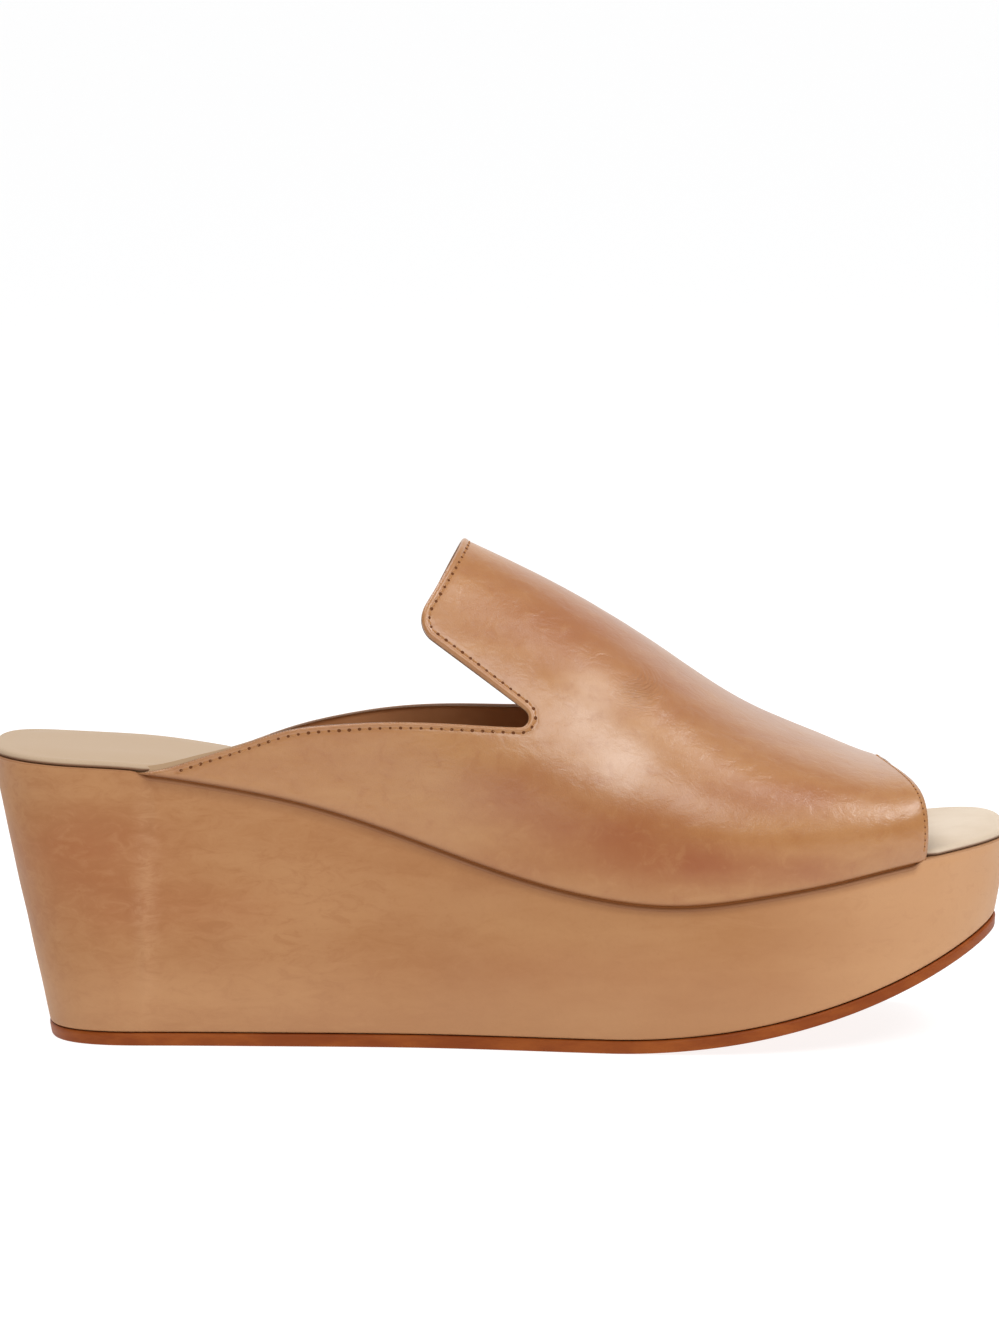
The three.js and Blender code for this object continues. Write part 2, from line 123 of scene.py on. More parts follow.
# The upper's cross-sections: ridge height and place, and how far each side swells
upper_rows = table(
    "along rise ridge lateral medial",
    (0.12, 1.06, 0.04, 0.0, 0.0),
    (0.3, 1.05, 0.04, 0.1, 0.2),
    (0.4, 1.03, 0.04, 0.4, 0.9),
    (0.46, 1.0, 0.04, 0.6, 1.3),
    (0.52, 0.965, 0.04, 0.8, 1.2),
    (0.58, 0.907, 0.045, 0.95, 0.9),
    (0.66, 0.766, 0.05, 1.0, 0.8),
    (0.74, 0.562, 0.05, 0.95, 0.7),
    (0.82, 0.396, 0.04, 0.8, 0.6),
    (0.88, 0.291, -0.036, 0.9, 0.5),
    (0.95, 0.277, -0.03, 0.6, 0.4),
)

# The arch of each cross-section: height of its widest point, and how long it stays upright and level
arch_rows = table(
    "along widest wall lateral medial",
    (0.12, 0.24, 0.5, 0.5, 0.5),
    (0.4, 0.28, 0.48, 0.48, 0.48),
    (0.46, 0.28, 0.47, 0.47, 0.47),
    (0.58, 0.28, 0.48, 0.48, 0.48),
    (0.66, 0.29, 0.5, 0.5, 0.5),
    (0.74, 0.3, 0.54, 0.52, 0.52),
    (0.82, 0.3, 0.62, 0.63, 0.55),
    (0.88, 0.3, 0.63, 0.735, 0.52),
    (0.95, 0.3, 0.735, 0.745, 0.52),
)

# The collar's height above the wedge's top on each side
collar_rows = table(
    "along lateral medial",
    (0.14, -0.022, -0.26),
    (0.17, 0.026, -0.15),
    (0.21, 0.145, -0.03),
    (0.25, 0.277, 0.107),
    (0.29, 0.418, 0.255),
    (0.335, 0.538, 0.407),
    (0.4, 0.704, 0.614),
    (0.47, 0.86, 0.795),
    (0.545, 1.0, 0.94),
)

tail_along = dict(lateral=0.1405, medial=0.212)
notch_along = 0.545
collar_end = 0.508
tongue_corner = (0.4147, 0.693)
tongue_top = (0.4623, 1.0)
toe_edge_middle = 0.09
toe_sweep_half = 0.42
toe_sweep_power = 1.5
spring_start = 0.6
heel_rake_fade = 0.5
toe_rake_fade = 0.8
insole_step = 0.012
sides = dict(lateral=-1, medial=1)


def mix(a, b, t):
    return a + (b - a) * t


def ease(start, end, value):
    t = np.clip((value - start) / (end - start), 0, 1)
    return t * t * (3 - 2 * t)


def smooth(rows, name):
    """A natural cubic spline through one column of a table."""
    x = np.array([row["along"] for row in rows], float)
    y = np.array([row[name] for row in rows], float)
    n = len(x)
    h = np.diff(x)
    matrix = np.eye(n)
    right = np.zeros(n)
    for i in range(1, n - 1):
        matrix[i, i - 1 : i + 2] = h[i - 1] / 6, (h[i - 1] + h[i]) / 3, h[i] / 6
        right[i] = (y[i + 1] - y[i]) / h[i] - (y[i] - y[i - 1]) / h[i - 1]
    bend = np.linalg.solve(matrix, right)

    def at(along):
        along = np.asarray(along, float)
        i = np.clip(np.searchsorted(x, along) - 1, 0, n - 2)
        b = (along - x[i]) / h[i]
        a = 1 - b
        curved = (a**3 - a) * bend[i] + (b**3 - b) * bend[i + 1]
        return a * y[i] + b * y[i + 1] + curved * h[i] ** 2 / 6

    return at


seat_heel = smooth(seat_rows, "heel")
seat_toe = smooth(seat_rows, "toe")
plan_ball = smooth(plan_rows, "ball")
plan_share = {side: smooth(plan_rows, side) for side in sides}
collar_share = {side: smooth(collar_rows, side) for side in sides}
section = {name: smooth(upper_rows, name) for name in ("rise", "ridge", "lateral", "medial")}
arch = {name: smooth(arch_rows, name) for name in ("widest", "wall", "lateral", "medial")}


def seat(along):
    """Height of the wedge's top."""
    heel = (heel_height - ball_height) * seat_heel(along)
    toe = (toe_height - ball_height) * seat_toe(along)
    return ball_height + heel + toe


def end_round(distance, reach, power):
    inside = np.clip(1 - distance / reach, 0, 1)
    return (1 - inside**power) ** (1 / power)


def half_width(side, along):
    """Half width of the wedge's top edge on one side."""
    end = end_rounding[side]
    width = mix(heel_width, ball_width, plan_ball(along))
    heel = end_round(along, end["heel_reach"], end["heel_power"])
    toe = end_round(1 - along, end["toe_reach"], end["toe_power"])
    return width * plan_share[side](along) * heel * toe


def tread(x):
    """Height of the outsole's underside."""
    start = spring_start * shoe_length
    run = shoe_length - toe_rake - start
    radius = (run * run + toe_spring * toe_spring) / (2 * toe_spring)
    past = np.clip(x - start, 0, radius * 0.99)
    return radius - np.sqrt(radius * radius - past * past)


def wall_normals(x, y):
    """Outward directions at the points of a ring in plan."""
    dx = np.roll(x, -1) - np.roll(x, 1)
    dy = np.roll(y, -1) - np.roll(y, 1)
    length = np.hypot(dx, dy)
    return np.stack([dy / length, -dx / length], 1)


def sole_ring(level, inset, steps):
    """The sole's outline at a share of the wall's height, as arrays of along, x and y."""
    shares = (1 - np.cos(np.pi * np.arange(steps + 1) / steps)) / 2
    along = np.concatenate([shares, shares[-2:0:-1]])
    side = np.concatenate([-np.ones(steps + 1), np.ones(steps - 1)])
    rake = heel_rake * (1 - ease(0, heel_rake_fade, along)) - toe_rake * ease(toe_rake_fade, 1, along)
    narrow = 1 - ((1 - level) * 2 * wall_lean) / ball_width
    x = along * shoe_length + (1 - level) * rake
    half = np.where(side < 0, half_width("lateral", along), half_width("medial", along))
    y = side * half * narrow
    normal = wall_normals(x, y)
    by = inset(side, along) if callable(inset) else inset
    return along, x - by * normal[:, 0], y - by * normal[:, 1]


def toe_edge(y):
    out = np.abs(y / ball_width - toe_edge_middle) / toe_sweep_half
    return toe_opening + toe_edge_sweep * out**toe_sweep_power


def toe_edge_along(side):
    along = toe_opening / shoe_length
    for _ in range(12):
        along = toe_edge(sides[side] * half_width(side, along)) / shoe_length
    return float(along)


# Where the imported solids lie, against the sizes above
wedge_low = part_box("wedge")[0]
middle_x = -wedge_low.x / MM
middle_y = float(np.min(sole_ring(1, 0, 400)[2])) - wedge_low.y / MM


def placed(points):
    """Points in millimetres from the heel, as metres in the row frame."""
    points = np.asarray(points, float)
    return (points - np.array([middle_x, middle_y, 0.0])) * MM


def mesh_object(name, points, faces, materials, face_material=None, joined=False, rub_and_shade=None):
    """A smooth-shaded mesh from points in metres and lists of corners.

    joined merges points that coincide, and the last argument says how much each point is darkened: painted
    shade beside seams and on the insole's side, and a little rub on cut edges.
    """
    mesh = bpy.data.meshes.new(name)
    mesh.from_pydata([tuple(p) for p in points], [], [tuple(int(i) for i in f) for f in faces])
    for material in materials:
        mesh.materials.append(material)
    mesh.polygons.foreach_set("use_smooth", [True] * len(mesh.polygons))
    if face_material is not None:
        mesh.polygons.foreach_set("material_index", [int(i) for i in face_material])
    if rub_and_shade is not None:
        rubbed = mesh.attributes.new("rub_and_shade", "FLOAT", "POINT")
        rubbed.data.foreach_set("value", np.asarray(rub_and_shade, np.float32))
    if joined:
        work = bmesh.new()
        work.from_mesh(mesh)
        bmesh.ops.remove_doubles(work, verts=work.verts, dist=0.05 * MM)
        work.to_mesh(mesh)
        work.free()
    mesh.validate()
    mesh.update()
    thing = bpy.data.objects.new(name, mesh)
    bpy.context.scene.collection.objects.link(thing)
    return thing


def bridge(one, two, columns, closed=True):
    """Quads between two rows of points, given where each starts."""
    last = columns if closed else columns - 1
    nexts = [(j, (j + 1) % columns) for j in range(last)]
    return [[one + j, one + k, two + k, two + j] for j, k in nexts]


def grid_faces(rows, columns, closed=True, start=0):
    """Quads of a grid of points, row by row, each row closed into a ring or open."""
    firsts = [start + i * columns for i in range(rows)]
    return [quad for one, two in zip(firsts, firsts[1:]) for quad in bridge(one, two, columns, closed)]


def flipped(faces):
    return [face[::-1] for face in faces]


# Soft waves from a fixed set of directions, used for slow unevenness of the leather
wave_source = random.Random(7)


def wave_set(count, long_side, short_side):
    waves = []
    for _ in range(count):
        length = wave_source.uniform(short_side, long_side)
        turn = wave_source.uniform(0, math.pi)
        tilt = wave_source.uniform(-0.6, 0.6)
        level = math.cos(tilt)
        direction = np.array([math.cos(turn) * level, math.sin(tilt), math.sin(turn) * level])
        waves.append((direction * 2 * math.pi / length, wave_source.uniform(0, 2 * math.pi)))
    return waves


def wave_height(points, waves):
    total = np.zeros(len(points))
    for direction, phase in waves:
        total += np.sin(points @ direction + phase)
    return total / math.sqrt(len(waves))


# Materials


class Paint:
    """A material built node by node around one shader."""

    def __init__(self, name, **shader):
        self.material = bpy.data.materials.new(name)
        self.material.use_nodes = True
        self.tree = self.material.node_tree
        self.shader = self.tree.nodes["Principled BSDF"]
        for socket, value in shader.items():
            self.shader.inputs[socket.replace("_", " ")].default_value = value
        self.place = self.tree.nodes.new("ShaderNodeTexCoord").outputs["Object"]
        self.height = None

    def node(self, kind, inputs=None, **settings):
        made = self.tree.nodes.new("ShaderNode" + kind)
        for key, value in settings.items():
            setattr(made, key, value)
        for key, value in (inputs or {}).items():
            if isinstance(value, bpy.types.NodeSocket):
                self.tree.links.new(value, made.inputs[key])
            else:
                made.inputs[key].default_value = value
        return made

    def scaled(self, scale, shift=(0, 0, 0)):
        inputs = {"Vector": self.place, "Scale": scale, "Location": shift}
        return self.node("Mapping", inputs).outputs["Vector"]

    def noise(self, scale, detail=3.0, rough=0.5, vector=None, distortion=0.0):
        inputs = {"Vector": vector or self.place, "Scale": scale, "Detail": detail}
        inputs |= {"Roughness": rough, "Distortion": distortion}
        return self.node("TexNoise", inputs).outputs["Fac"]

    def cells(self, scale):
        return self.node("TexVoronoi", {"Vector": self.place, "Scale": scale}).outputs["Distance"]

    def ramp(self, value, low, high, start=0.0, end=1.0):
        inputs = {"Value": value, "From Min": low, "From Max": high, "To Min": start, "To Max": end}
        return self.node("MapRange", inputs, clamp=True, interpolation_type="SMOOTHSTEP").outputs["Result"]

    def math(self, operation, a, b):
        return self.node("Math", {0: a, 1: b}, operation=operation).outputs[0]

    def times(self, a, b):
        return self.math("MULTIPLY", a, b)

    def blend(self, amount, a, b):
        made = self.tree.nodes.new("ShaderNodeMix")
        made.data_type = "RGBA"
        for key, value in (("Factor", amount), ("A", a), ("B", b)):
            socket = next(s for s in made.inputs if s.name == key and s.enabled)
            if isinstance(value, bpy.types.NodeSocket):
                self.tree.links.new(value, socket)
            else:
                socket.default_value = value
        return next(s for s in made.outputs if s.enabled)

    def centred(self, centre, scale):
        """Places counted from a centre on the shoe and scaled."""
        return self.scaled((scale,) * 3, tuple(-c * scale for c in centre))

    def spot(self, centre, reach):
        """1 at a place on the shoe, falling to 0 at its reach each way, in metres."""
        vector = self.scaled(tuple(1 / r for r in reach), tuple(-c / r for c, r in zip(centre, reach)))
        length = self.node("VectorMath", {0: vector}, operation="LENGTH").outputs["Value"]
        return self.ramp(length, 0.0, 1.0, 1.0, 0.0)

    def clouded(self, cloud, low, one, two):
        """Two colours that run into each other along a noise."""
        return self.blend(self.ramp(cloud, low, 0.7), one, two)

    def rub_and_shade_share(self):
        """How much the mesh says that a place is darkened: painted shade beside seams and on the insole's
        side, and a little rub on cut edges.
        """
        return self.node("Attribute", attribute_name="rub_and_shade").outputs["Fac"]

    # blends in the brown of that painted shade and rub
    def rubbed_and_shaded(self, colour, tint):
        return self.blend(self.rub_and_shade_share(), colour, tint)

    def drive(self, socket, value):
        """Links a value to one of the shader's sockets, or sets it there when it is constant."""
        if isinstance(value, bpy.types.NodeSocket):
            self.tree.links.new(value, self.shader.inputs[socket])
        else:
            self.shader.inputs[socket].default_value = value

    def bump(self, height, distance, strength):
        inputs = {"Height": height, "Distance": distance, "Strength": strength}
        if self.height is not None:
            inputs["Normal"] = self.height
        self.height = self.node("Bump", inputs).outputs["Normal"]
        self.drive("Normal", self.height)


def srgb(r, g, b):
    """A colour given as it looks on the screen, 0 to 255, for a shader."""
    linear = [((c / 255 + 0.055) / 1.055) ** 2.4 if c > 10 else c / 255 / 12.92 for c in (r, g, b)]
    return (*linear, 1.0)


def leather(name, base, dark, light, **shader):
    """Smooth leather: slow clouds of colour, faint streaks along the shoe, pores and a fine grain."""
    paint = Paint(name, Specular_IOR_Level=0.4, Coat_IOR=1.6, **shader)
    streaks = paint.noise(38.0, 4.0, 0.6, vector=paint.scaled((0.35, 1, 1.5)))
    cloud = paint.noise(17.0, 3.0, 0.55, vector=paint.scaled((0.7, 1, 1.2), (3, 1, 7)))
    colour = paint.blend(paint.ramp(streaks, 0.35, 0.7, 0.0, 0.9), base, light)
    colour = paint.blend(paint.ramp(cloud, 0.42, 0.7, 0.0, 0.6), colour, dark)
    fine = paint.noise(900.0, 3.0, 0.65)
    colour = paint.blend(paint.ramp(fine, 0.5, 0.8, 0.0, 0.16), colour, dark)
    scuffs = paint.noise(150.0, 5.0, 0.7, vector=paint.scaled((0.25, 1, 1)), distortion=0.6)
    colour = paint.blend(paint.ramp(scuffs, 0.58, 0.72, 0.0, 0.35), colour, light)
    paint.bump(paint.ramp(paint.cells(2400.0), 0.0, 0.55), 0.00003, 0.5)
    paint.bump(paint.noise(800.0, 3.0, 0.6), 0.00007, 0.5)
    paint.bump(paint.noise(140.0, 2.0, 0.5), 0.0002, 0.3)
    return paint, colour


def patched(paint, colour, patches, tint):
    """Soft patches of another colour, each with centre, reach and amount, a little broken up."""
    break_up = paint.ramp(paint.noise(70.0, 4.0, 0.6), 0.3, 0.7, 0.65, 1.0)
    for centre, reach, amount in patches:
        share = paint.times(paint.times(paint.spot(centre, reach), amount), break_up)
        colour = paint.blend(share, colour, tint)
    return colour


# Browns painted in: one for painted shade beside seams and on the wedge's top edge, with a little rub on cut
# edges, and one for polish and painted shade on the upper
rub_and_shade_brown = srgb(118, 66, 32)
polish_and_shade_brown = srgb(150, 72, 16)


def upper_leather():
    base, dark, light = srgb(173, 114, 58), srgb(158, 90, 36), srgb(188, 134, 80)
    paint, colour = leather("upper leather", base, dark, light, Coat_Roughness=0.31)
    # darker patches: polish on the leather, and painted shade low on the vamp and along the toe, where the
    # outer side reflects little light
    dark_patches = [
        ((0.004, -0.04, 0.064), (0.026, 0.04, 0.013), 0.6),
        ((0.07, -0.04, 0.0635), (0.034, 0.04, 0.007), 0.45),
        ((0.026, -0.044, 0.055), (0.034, 0.04, 0.013), 0.8),
        ((0.044, -0.044, 0.048), (0.034, 0.04, 0.009), 0.9),
        ((0.068, -0.043, 0.046), (0.026, 0.04, 0.006), 0.5),
        ((0.018, -0.012, 0.102), (0.03, 0.03, 0.016), 0.35),
        ((0.045, -0.022, 0.086), (0.03, 0.026, 0.012), 0.3),
        ((-0.01, 0.03, 0.08), (0.03, 0.03, 0.02), 0.4),
        ((0.05, 0.042, 0.055), (0.045, 0.03, 0.014), 0.5),
    ]
    colour = patched(paint, colour, dark_patches, polish_and_shade_brown)
    # painted highlight: paler patches where the gloss shines brightest on the outer side
    pale = [
        ((0.0215, -0.026, 0.083), (0.012, 0.03, 0.014), 0.6),
        ((0.03, -0.032, 0.072), (0.012, 0.03, 0.012), 0.6),
    ]
    colour = patched(paint, colour, pale, srgb(226, 192, 166))
    # the gloss, less of it low on the outer side and none where edges carry painted shade or rub
    full_coat = 0.9
    dull = paint.spot((0.035, -0.046, 0.05), (0.075, 0.05, 0.02))
    coat = paint.math("SUBTRACT", full_coat, paint.times(dull, 0.65))
    coat = paint.times(coat, paint.math("SUBTRACT", 1.0, paint.rub_and_shade_share()))
    paint.drive("Coat Weight", coat)
    mottle = paint.noise(240.0, 5.0, 0.65, distortion=0.5)
    colour = paint.blend(paint.ramp(mottle, 0.5, 0.75, 0.0, 0.3), colour, light)
    colour = paint.blend(paint.ramp(mottle, 0.5, 0.28, 0.0, 0.3), colour, dark)
    relief = paint.node("Bump", {"Height": mottle, "Distance": 0.0006, "Strength": 0.5}).outputs["Normal"]
    paint.drive("Coat Normal", relief)
    # fine wrinkles in arcs over the joint of the big toe
    around = paint.centred((0.0315, -0.022, 0.0945), 300)
    inputs = {"Vector": around, "Scale": 1.0, "Distortion": 2.5, "Detail Scale": 1.6}
    ripples = paint.node("TexWave", inputs, wave_type="RINGS", rings_direction="SPHERICAL").outputs["Fac"]
    wrinkled = paint.spot((0.033, -0.022, 0.087), (0.009, 0.03, 0.007))
    paint.bump(paint.times(ripples, wrinkled), 0.0003, 0.9)
    # painted shade in brown beside the hem's seam, and a little rub on the cut edges
    paint.drive("Base Color", paint.rubbed_and_shaded(colour, rub_and_shade_brown))
    paint.drive("Roughness", paint.ramp(paint.noise(60.0, 3.0, 0.6), 0.3, 0.7, 0.44, 0.56))
    return paint.material


def wedge_leather():
    base, dark, light = srgb(174, 119, 71), srgb(160, 101, 55), srgb(186, 134, 86)
    paint, colour = leather("wedge leather", base, dark, light, Coat_Weight=0.08, Coat_Roughness=0.4)
    dark_patches = [
        ((-0.1, -0.03, 0.048), (0.036, 0.06, 0.016), 0.75),
        ((-0.085, -0.03, 0.034), (0.05, 0.06, 0.012), 0.5),
        ((0.02, -0.04, 0.02), (0.07, 0.06, 0.012), 0.3),
        ((-0.09, 0.03, 0.045), (0.03, 0.03, 0.016), 0.5),
    ]
    colour = patched(paint, colour, dark_patches, srgb(158, 88, 42))
    place = paint.node("SeparateXYZ", {"Vector": paint.place})
    # painted light: the wall grows lighter towards the toe, where it turns towards the lights
    toe = paint.ramp(place.outputs["X"], 0.05, 0.115)
    colour = paint.blend(paint.times(toe, 0.75), colour, srgb(208, 158, 114))
    # scuffs and cloudy grain, most of them towards the heel, and one pale upright streak there
    worn = paint.ramp(place.outputs["X"], 0.02, -0.06, 0.3, 1.0)
    grain = paint.noise(330.0, 4.0, 0.7, vector=paint.scaled((0.45, 1, 1), (5, 2, 1)), distortion=0.8)
    colour = paint.blend(paint.times(paint.ramp(grain, 0.45, 0.75, 0.0, 0.42), worn), colour, light)
    colour = paint.blend(paint.times(paint.ramp(grain, 0.52, 0.3, 0.0, 0.42), worn), colour, dark)
    streak = paint.spot((-0.0865, -0.03, 0.038), (0.005, 0.06, 0.045))
    streak = paint.times(streak, paint.ramp(grain, 0.35, 0.65, 0.1, 0.36))
    colour = paint.blend(streak, colour, srgb(208, 160, 118))
    # painted light: the wall grows lighter towards its foot, as lit from the bright floor below
    low = paint.ramp(place.outputs["Z"], 0.03, 0.006)
    colour = paint.blend(paint.times(low, 0.35), colour, srgb(200, 150, 108))
    # painted shade in brown under the upper's hem and on the rounded top edge
    paint.drive("Base Color", paint.rubbed_and_shaded(colour, rub_and_shade_brown))
    paint.drive("Roughness", paint.ramp(paint.noise(60.0, 3.0, 0.6), 0.3, 0.7, 0.52, 0.64))
    return paint.material


def insole_leather():
    paint = Paint("insole leather", Roughness=0.62, Specular_IOR_Level=0.3)
    cloud = paint.noise(30.0, 4.0, 0.55)
    colour = paint.clouded(cloud, 0.4, srgb(212, 192, 168), srgb(222, 205, 184))
    x = paint.node("SeparateXYZ", {"Vector": paint.place}).outputs["X"]
    colour = paint.blend(paint.ramp(x, 0.04, -0.08, 0.0, 0.9), colour, srgb(184, 157, 128))
    # painted shade on the insole's side, in dark brown
    paint.drive("Base Color", paint.rubbed_and_shaded(colour, srgb(110, 66, 36)))
    paint.bump(paint.ramp(paint.cells(1500.0), 0.0, 0.6), 0.00005, 0.5)
    paint.bump(paint.noise(500.0, 3.0, 0.6), 0.00008, 0.4)
    return paint.material


def lining_leather():
    paint = Paint("lining leather", Roughness=0.66, Specular_IOR_Level=0.25)
    cloud = paint.noise(40.0, 4.0, 0.55)
    paint.drive("Base Color", paint.clouded(cloud, 0.4, srgb(164, 110, 70), srgb(180, 126, 84)))
    paint.bump(paint.noise(700.0, 3.0, 0.6), 0.00008, 0.4)
    return paint.material


def outsole_rubber():
    paint = Paint("outsole edge", Roughness=0.5, Specular_IOR_Level=0.2)
    cloud = paint.noise(60.0, 4.0, 0.6, vector=paint.scaled((1, 1, 3)))
    paint.drive("Base Color", paint.clouded(cloud, 0.35, srgb(136, 63, 18), srgb(158, 82, 28)))
    paint.bump(paint.noise(300.0, 3.0, 0.6, vector=paint.scaled((1, 1, 6))), 0.00012, 0.5)
    return paint.material


def tread_rubber():
    paint = Paint("outsole underside", Roughness=0.6, Specular_IOR_Level=0.35)
    cloud = paint.noise(40.0, 4.0, 0.6)
    paint.drive("Base Color", paint.clouded(cloud, 0.35, srgb(150, 86, 46), srgb(168, 100, 56)))
    inputs = {"Vector": paint.place, "Scale": 130.0, "Distortion": 0.0}
    lines = paint.node("TexWave", inputs, wave_type="BANDS", bands_direction="DIAGONAL").outputs["Fac"]
    paint.bump(lines, 0.0005, 0.7)
    return paint.material


def plain(name, colour, rough, level=0.3):
    paint = Paint(name, Roughness=rough, Specular_IOR_Level=level)
    paint.drive("Base Color", colour)
    paint.bump(paint.noise(1200.0, 2.0, 0.5), 0.00004, 0.4)
    return paint.material


upper_skin = upper_leather()
wedge_skin = wedge_leather()
insole_skin = insole_leather()
lining_skin = lining_leather()
outsole_edge = outsole_rubber()
outsole_under = tread_rubber()
edge_skin = plain("cut leather edge", srgb(140, 92, 60), 0.6)
pale_edge = plain("pale lining edge", srgb(172, 140, 106), 0.6)
lining_edge = plain("lining edge", srgb(128, 96, 72), 0.6)
thread_skin = plain("thread", srgb(178, 126, 80), 0.7, 0.15)
# painted shade: the stitch holes are dark discs coloured as the holes look in their shade
hole_shade_skin = plain("stitch hole shade", srgb(108, 64, 36), 0.8, 0.1)
# painted shade: a brown strip set in the seam's groove, coloured as the gap looks in its shade
groove_shade_skin = plain("seam groove shade", srgb(150, 92, 50), 0.7, 0.1)


# The sole: outsole, wedge and insole are rings round the plan, closed by rings that shrink to a line


def spine(along):
    """The line that closed rings shrink towards, kept off the shoe's ends."""
    held = np.clip(along, 0.1, 0.9)
    centre = (half_width("medial", held) - half_width("lateral", held)) / 2
    return held * shoe_length, centre


def cap(x, y, along, shares, height):
    """Rings from an outline in to the spine, at the given shares of the way."""
    spine_x, spine_y = spine(along)
    rows = []
    for share in shares:
        rx = mix(x, spine_x, share)
        ry = mix(y, spine_y, share)
        rows.append(np.stack([rx, ry, height(rx, ry, share)], 1))
    return rows


steps = 420
count = 2 * steps

# The outsole's side: how far in from the ledge, and how high
outsole_profile = [(0.5, 0.0), (0.18, 0.05), (0.04, 0.18), (0.0, 0.45), (0.0, 1.4)]
outsole_profile += [(0.0, 2.35), (0.06, 2.75), (0.3, 3.05), (0.9, 3.15), (3.0, 3.15)]
outsole_wobble = 0.07
wobble_from, wobble_to = 0.1, 3.0


def make_outsole():
    rows = []
    waves = wave_set(5, 60, 18)
    for inset, height in outsole_profile:
        level = -(outsole_thickness - height) / heel_height
        along, x, y = sole_ring(level, inset - outsole_ledge, steps)
        points = np.stack([x, y, tread(x) + height], 1)
        if wobble_from < height < wobble_to:
            away = points[:, :2] - np.array([shoe_length / 2, 0])
            away /= np.linalg.norm(away, axis=1)[:, None]
            points[:, :2] += away * (outsole_wobble * wave_height(points, waves))[:, None]
        rows.append(points)
    foot = outsole_profile[0][0]
    along, x, y = sole_ring(-outsole_thickness / heel_height, foot - outsole_ledge, steps)
    shares = (0.04, 0.12, 0.25, 0.4, 0.55, 0.7, 0.85, 1.0)
    under = cap(x, y, along, shares, lambda a, b, share: tread(a))
    rows = under[::-1] + rows
    faces = grid_faces(len(rows), count)
    kinds = [1] * (len(under) * count) + [0] * ((len(rows) - 1 - len(under)) * count)
    skins = [outsole_edge, outsole_under]
    return mesh_object("outsole_look", placed(np.concatenate(rows)), faces, skins, kinds, True)


toe_along = {side: toe_edge_along(side) for side in sides}


def upper_cover(side, along):
    """1 where the upper meets the wedge's edge, 0 behind its tail and ahead of its toe edge."""
    cover = {}
    for name in sides:
        enter = ease(tail_along[name] + 0.001, tail_along[name] + 0.02, along)
        leave = ease(toe_along[name] - 0.013, toe_along[name] - 0.004, along)
        cover[name] = enter * (1 - leave)
    return np.where(side < 0, cover["lateral"], cover["medial"])


def moved_in(x, y, normal, inset, z):
    """A ring of points at height z, moved in from the wall."""
    return np.stack([x - normal[:, 0] * inset, y - normal[:, 1] * inset, z], 1)


# The wedge's lower edge: how far in, and how high. Its upper edge is rounded: bare, or under the upper
wedge_foot = [(2.5, 0.0), (0.55, 0.02), (0.2, 0.12), (0.05, 0.35)]
wall_start = 0.7
bare_round, covered_round = 0.42, 1.1
tuck_depth, tuck_reach = 0.3, 0.03
# painted shade: how dark the wall is just under the upper's hem and how far down that reaches, and how dark
# the rounded top edge is
wall_shade, wall_shade_reach = 0.4, 0.028
tip_shade = 0.3
top_inset = 3.2
slow_wobble, quick_wobble = 0.16, 0.06
wall_rows = 46
tip_rows = 8
under_cover = 0.1


def wrap_seam(points, share):
    """The low upright ridge where the wrapping leather of the outer side overlaps, near the heel."""
    place = 41.5 - 4.5 * (1 - share) + 1.0 * np.sin(share * 9.0)
    return 0.12 * np.exp(-(((points[:, 0] - place) / 0.9) ** 2))


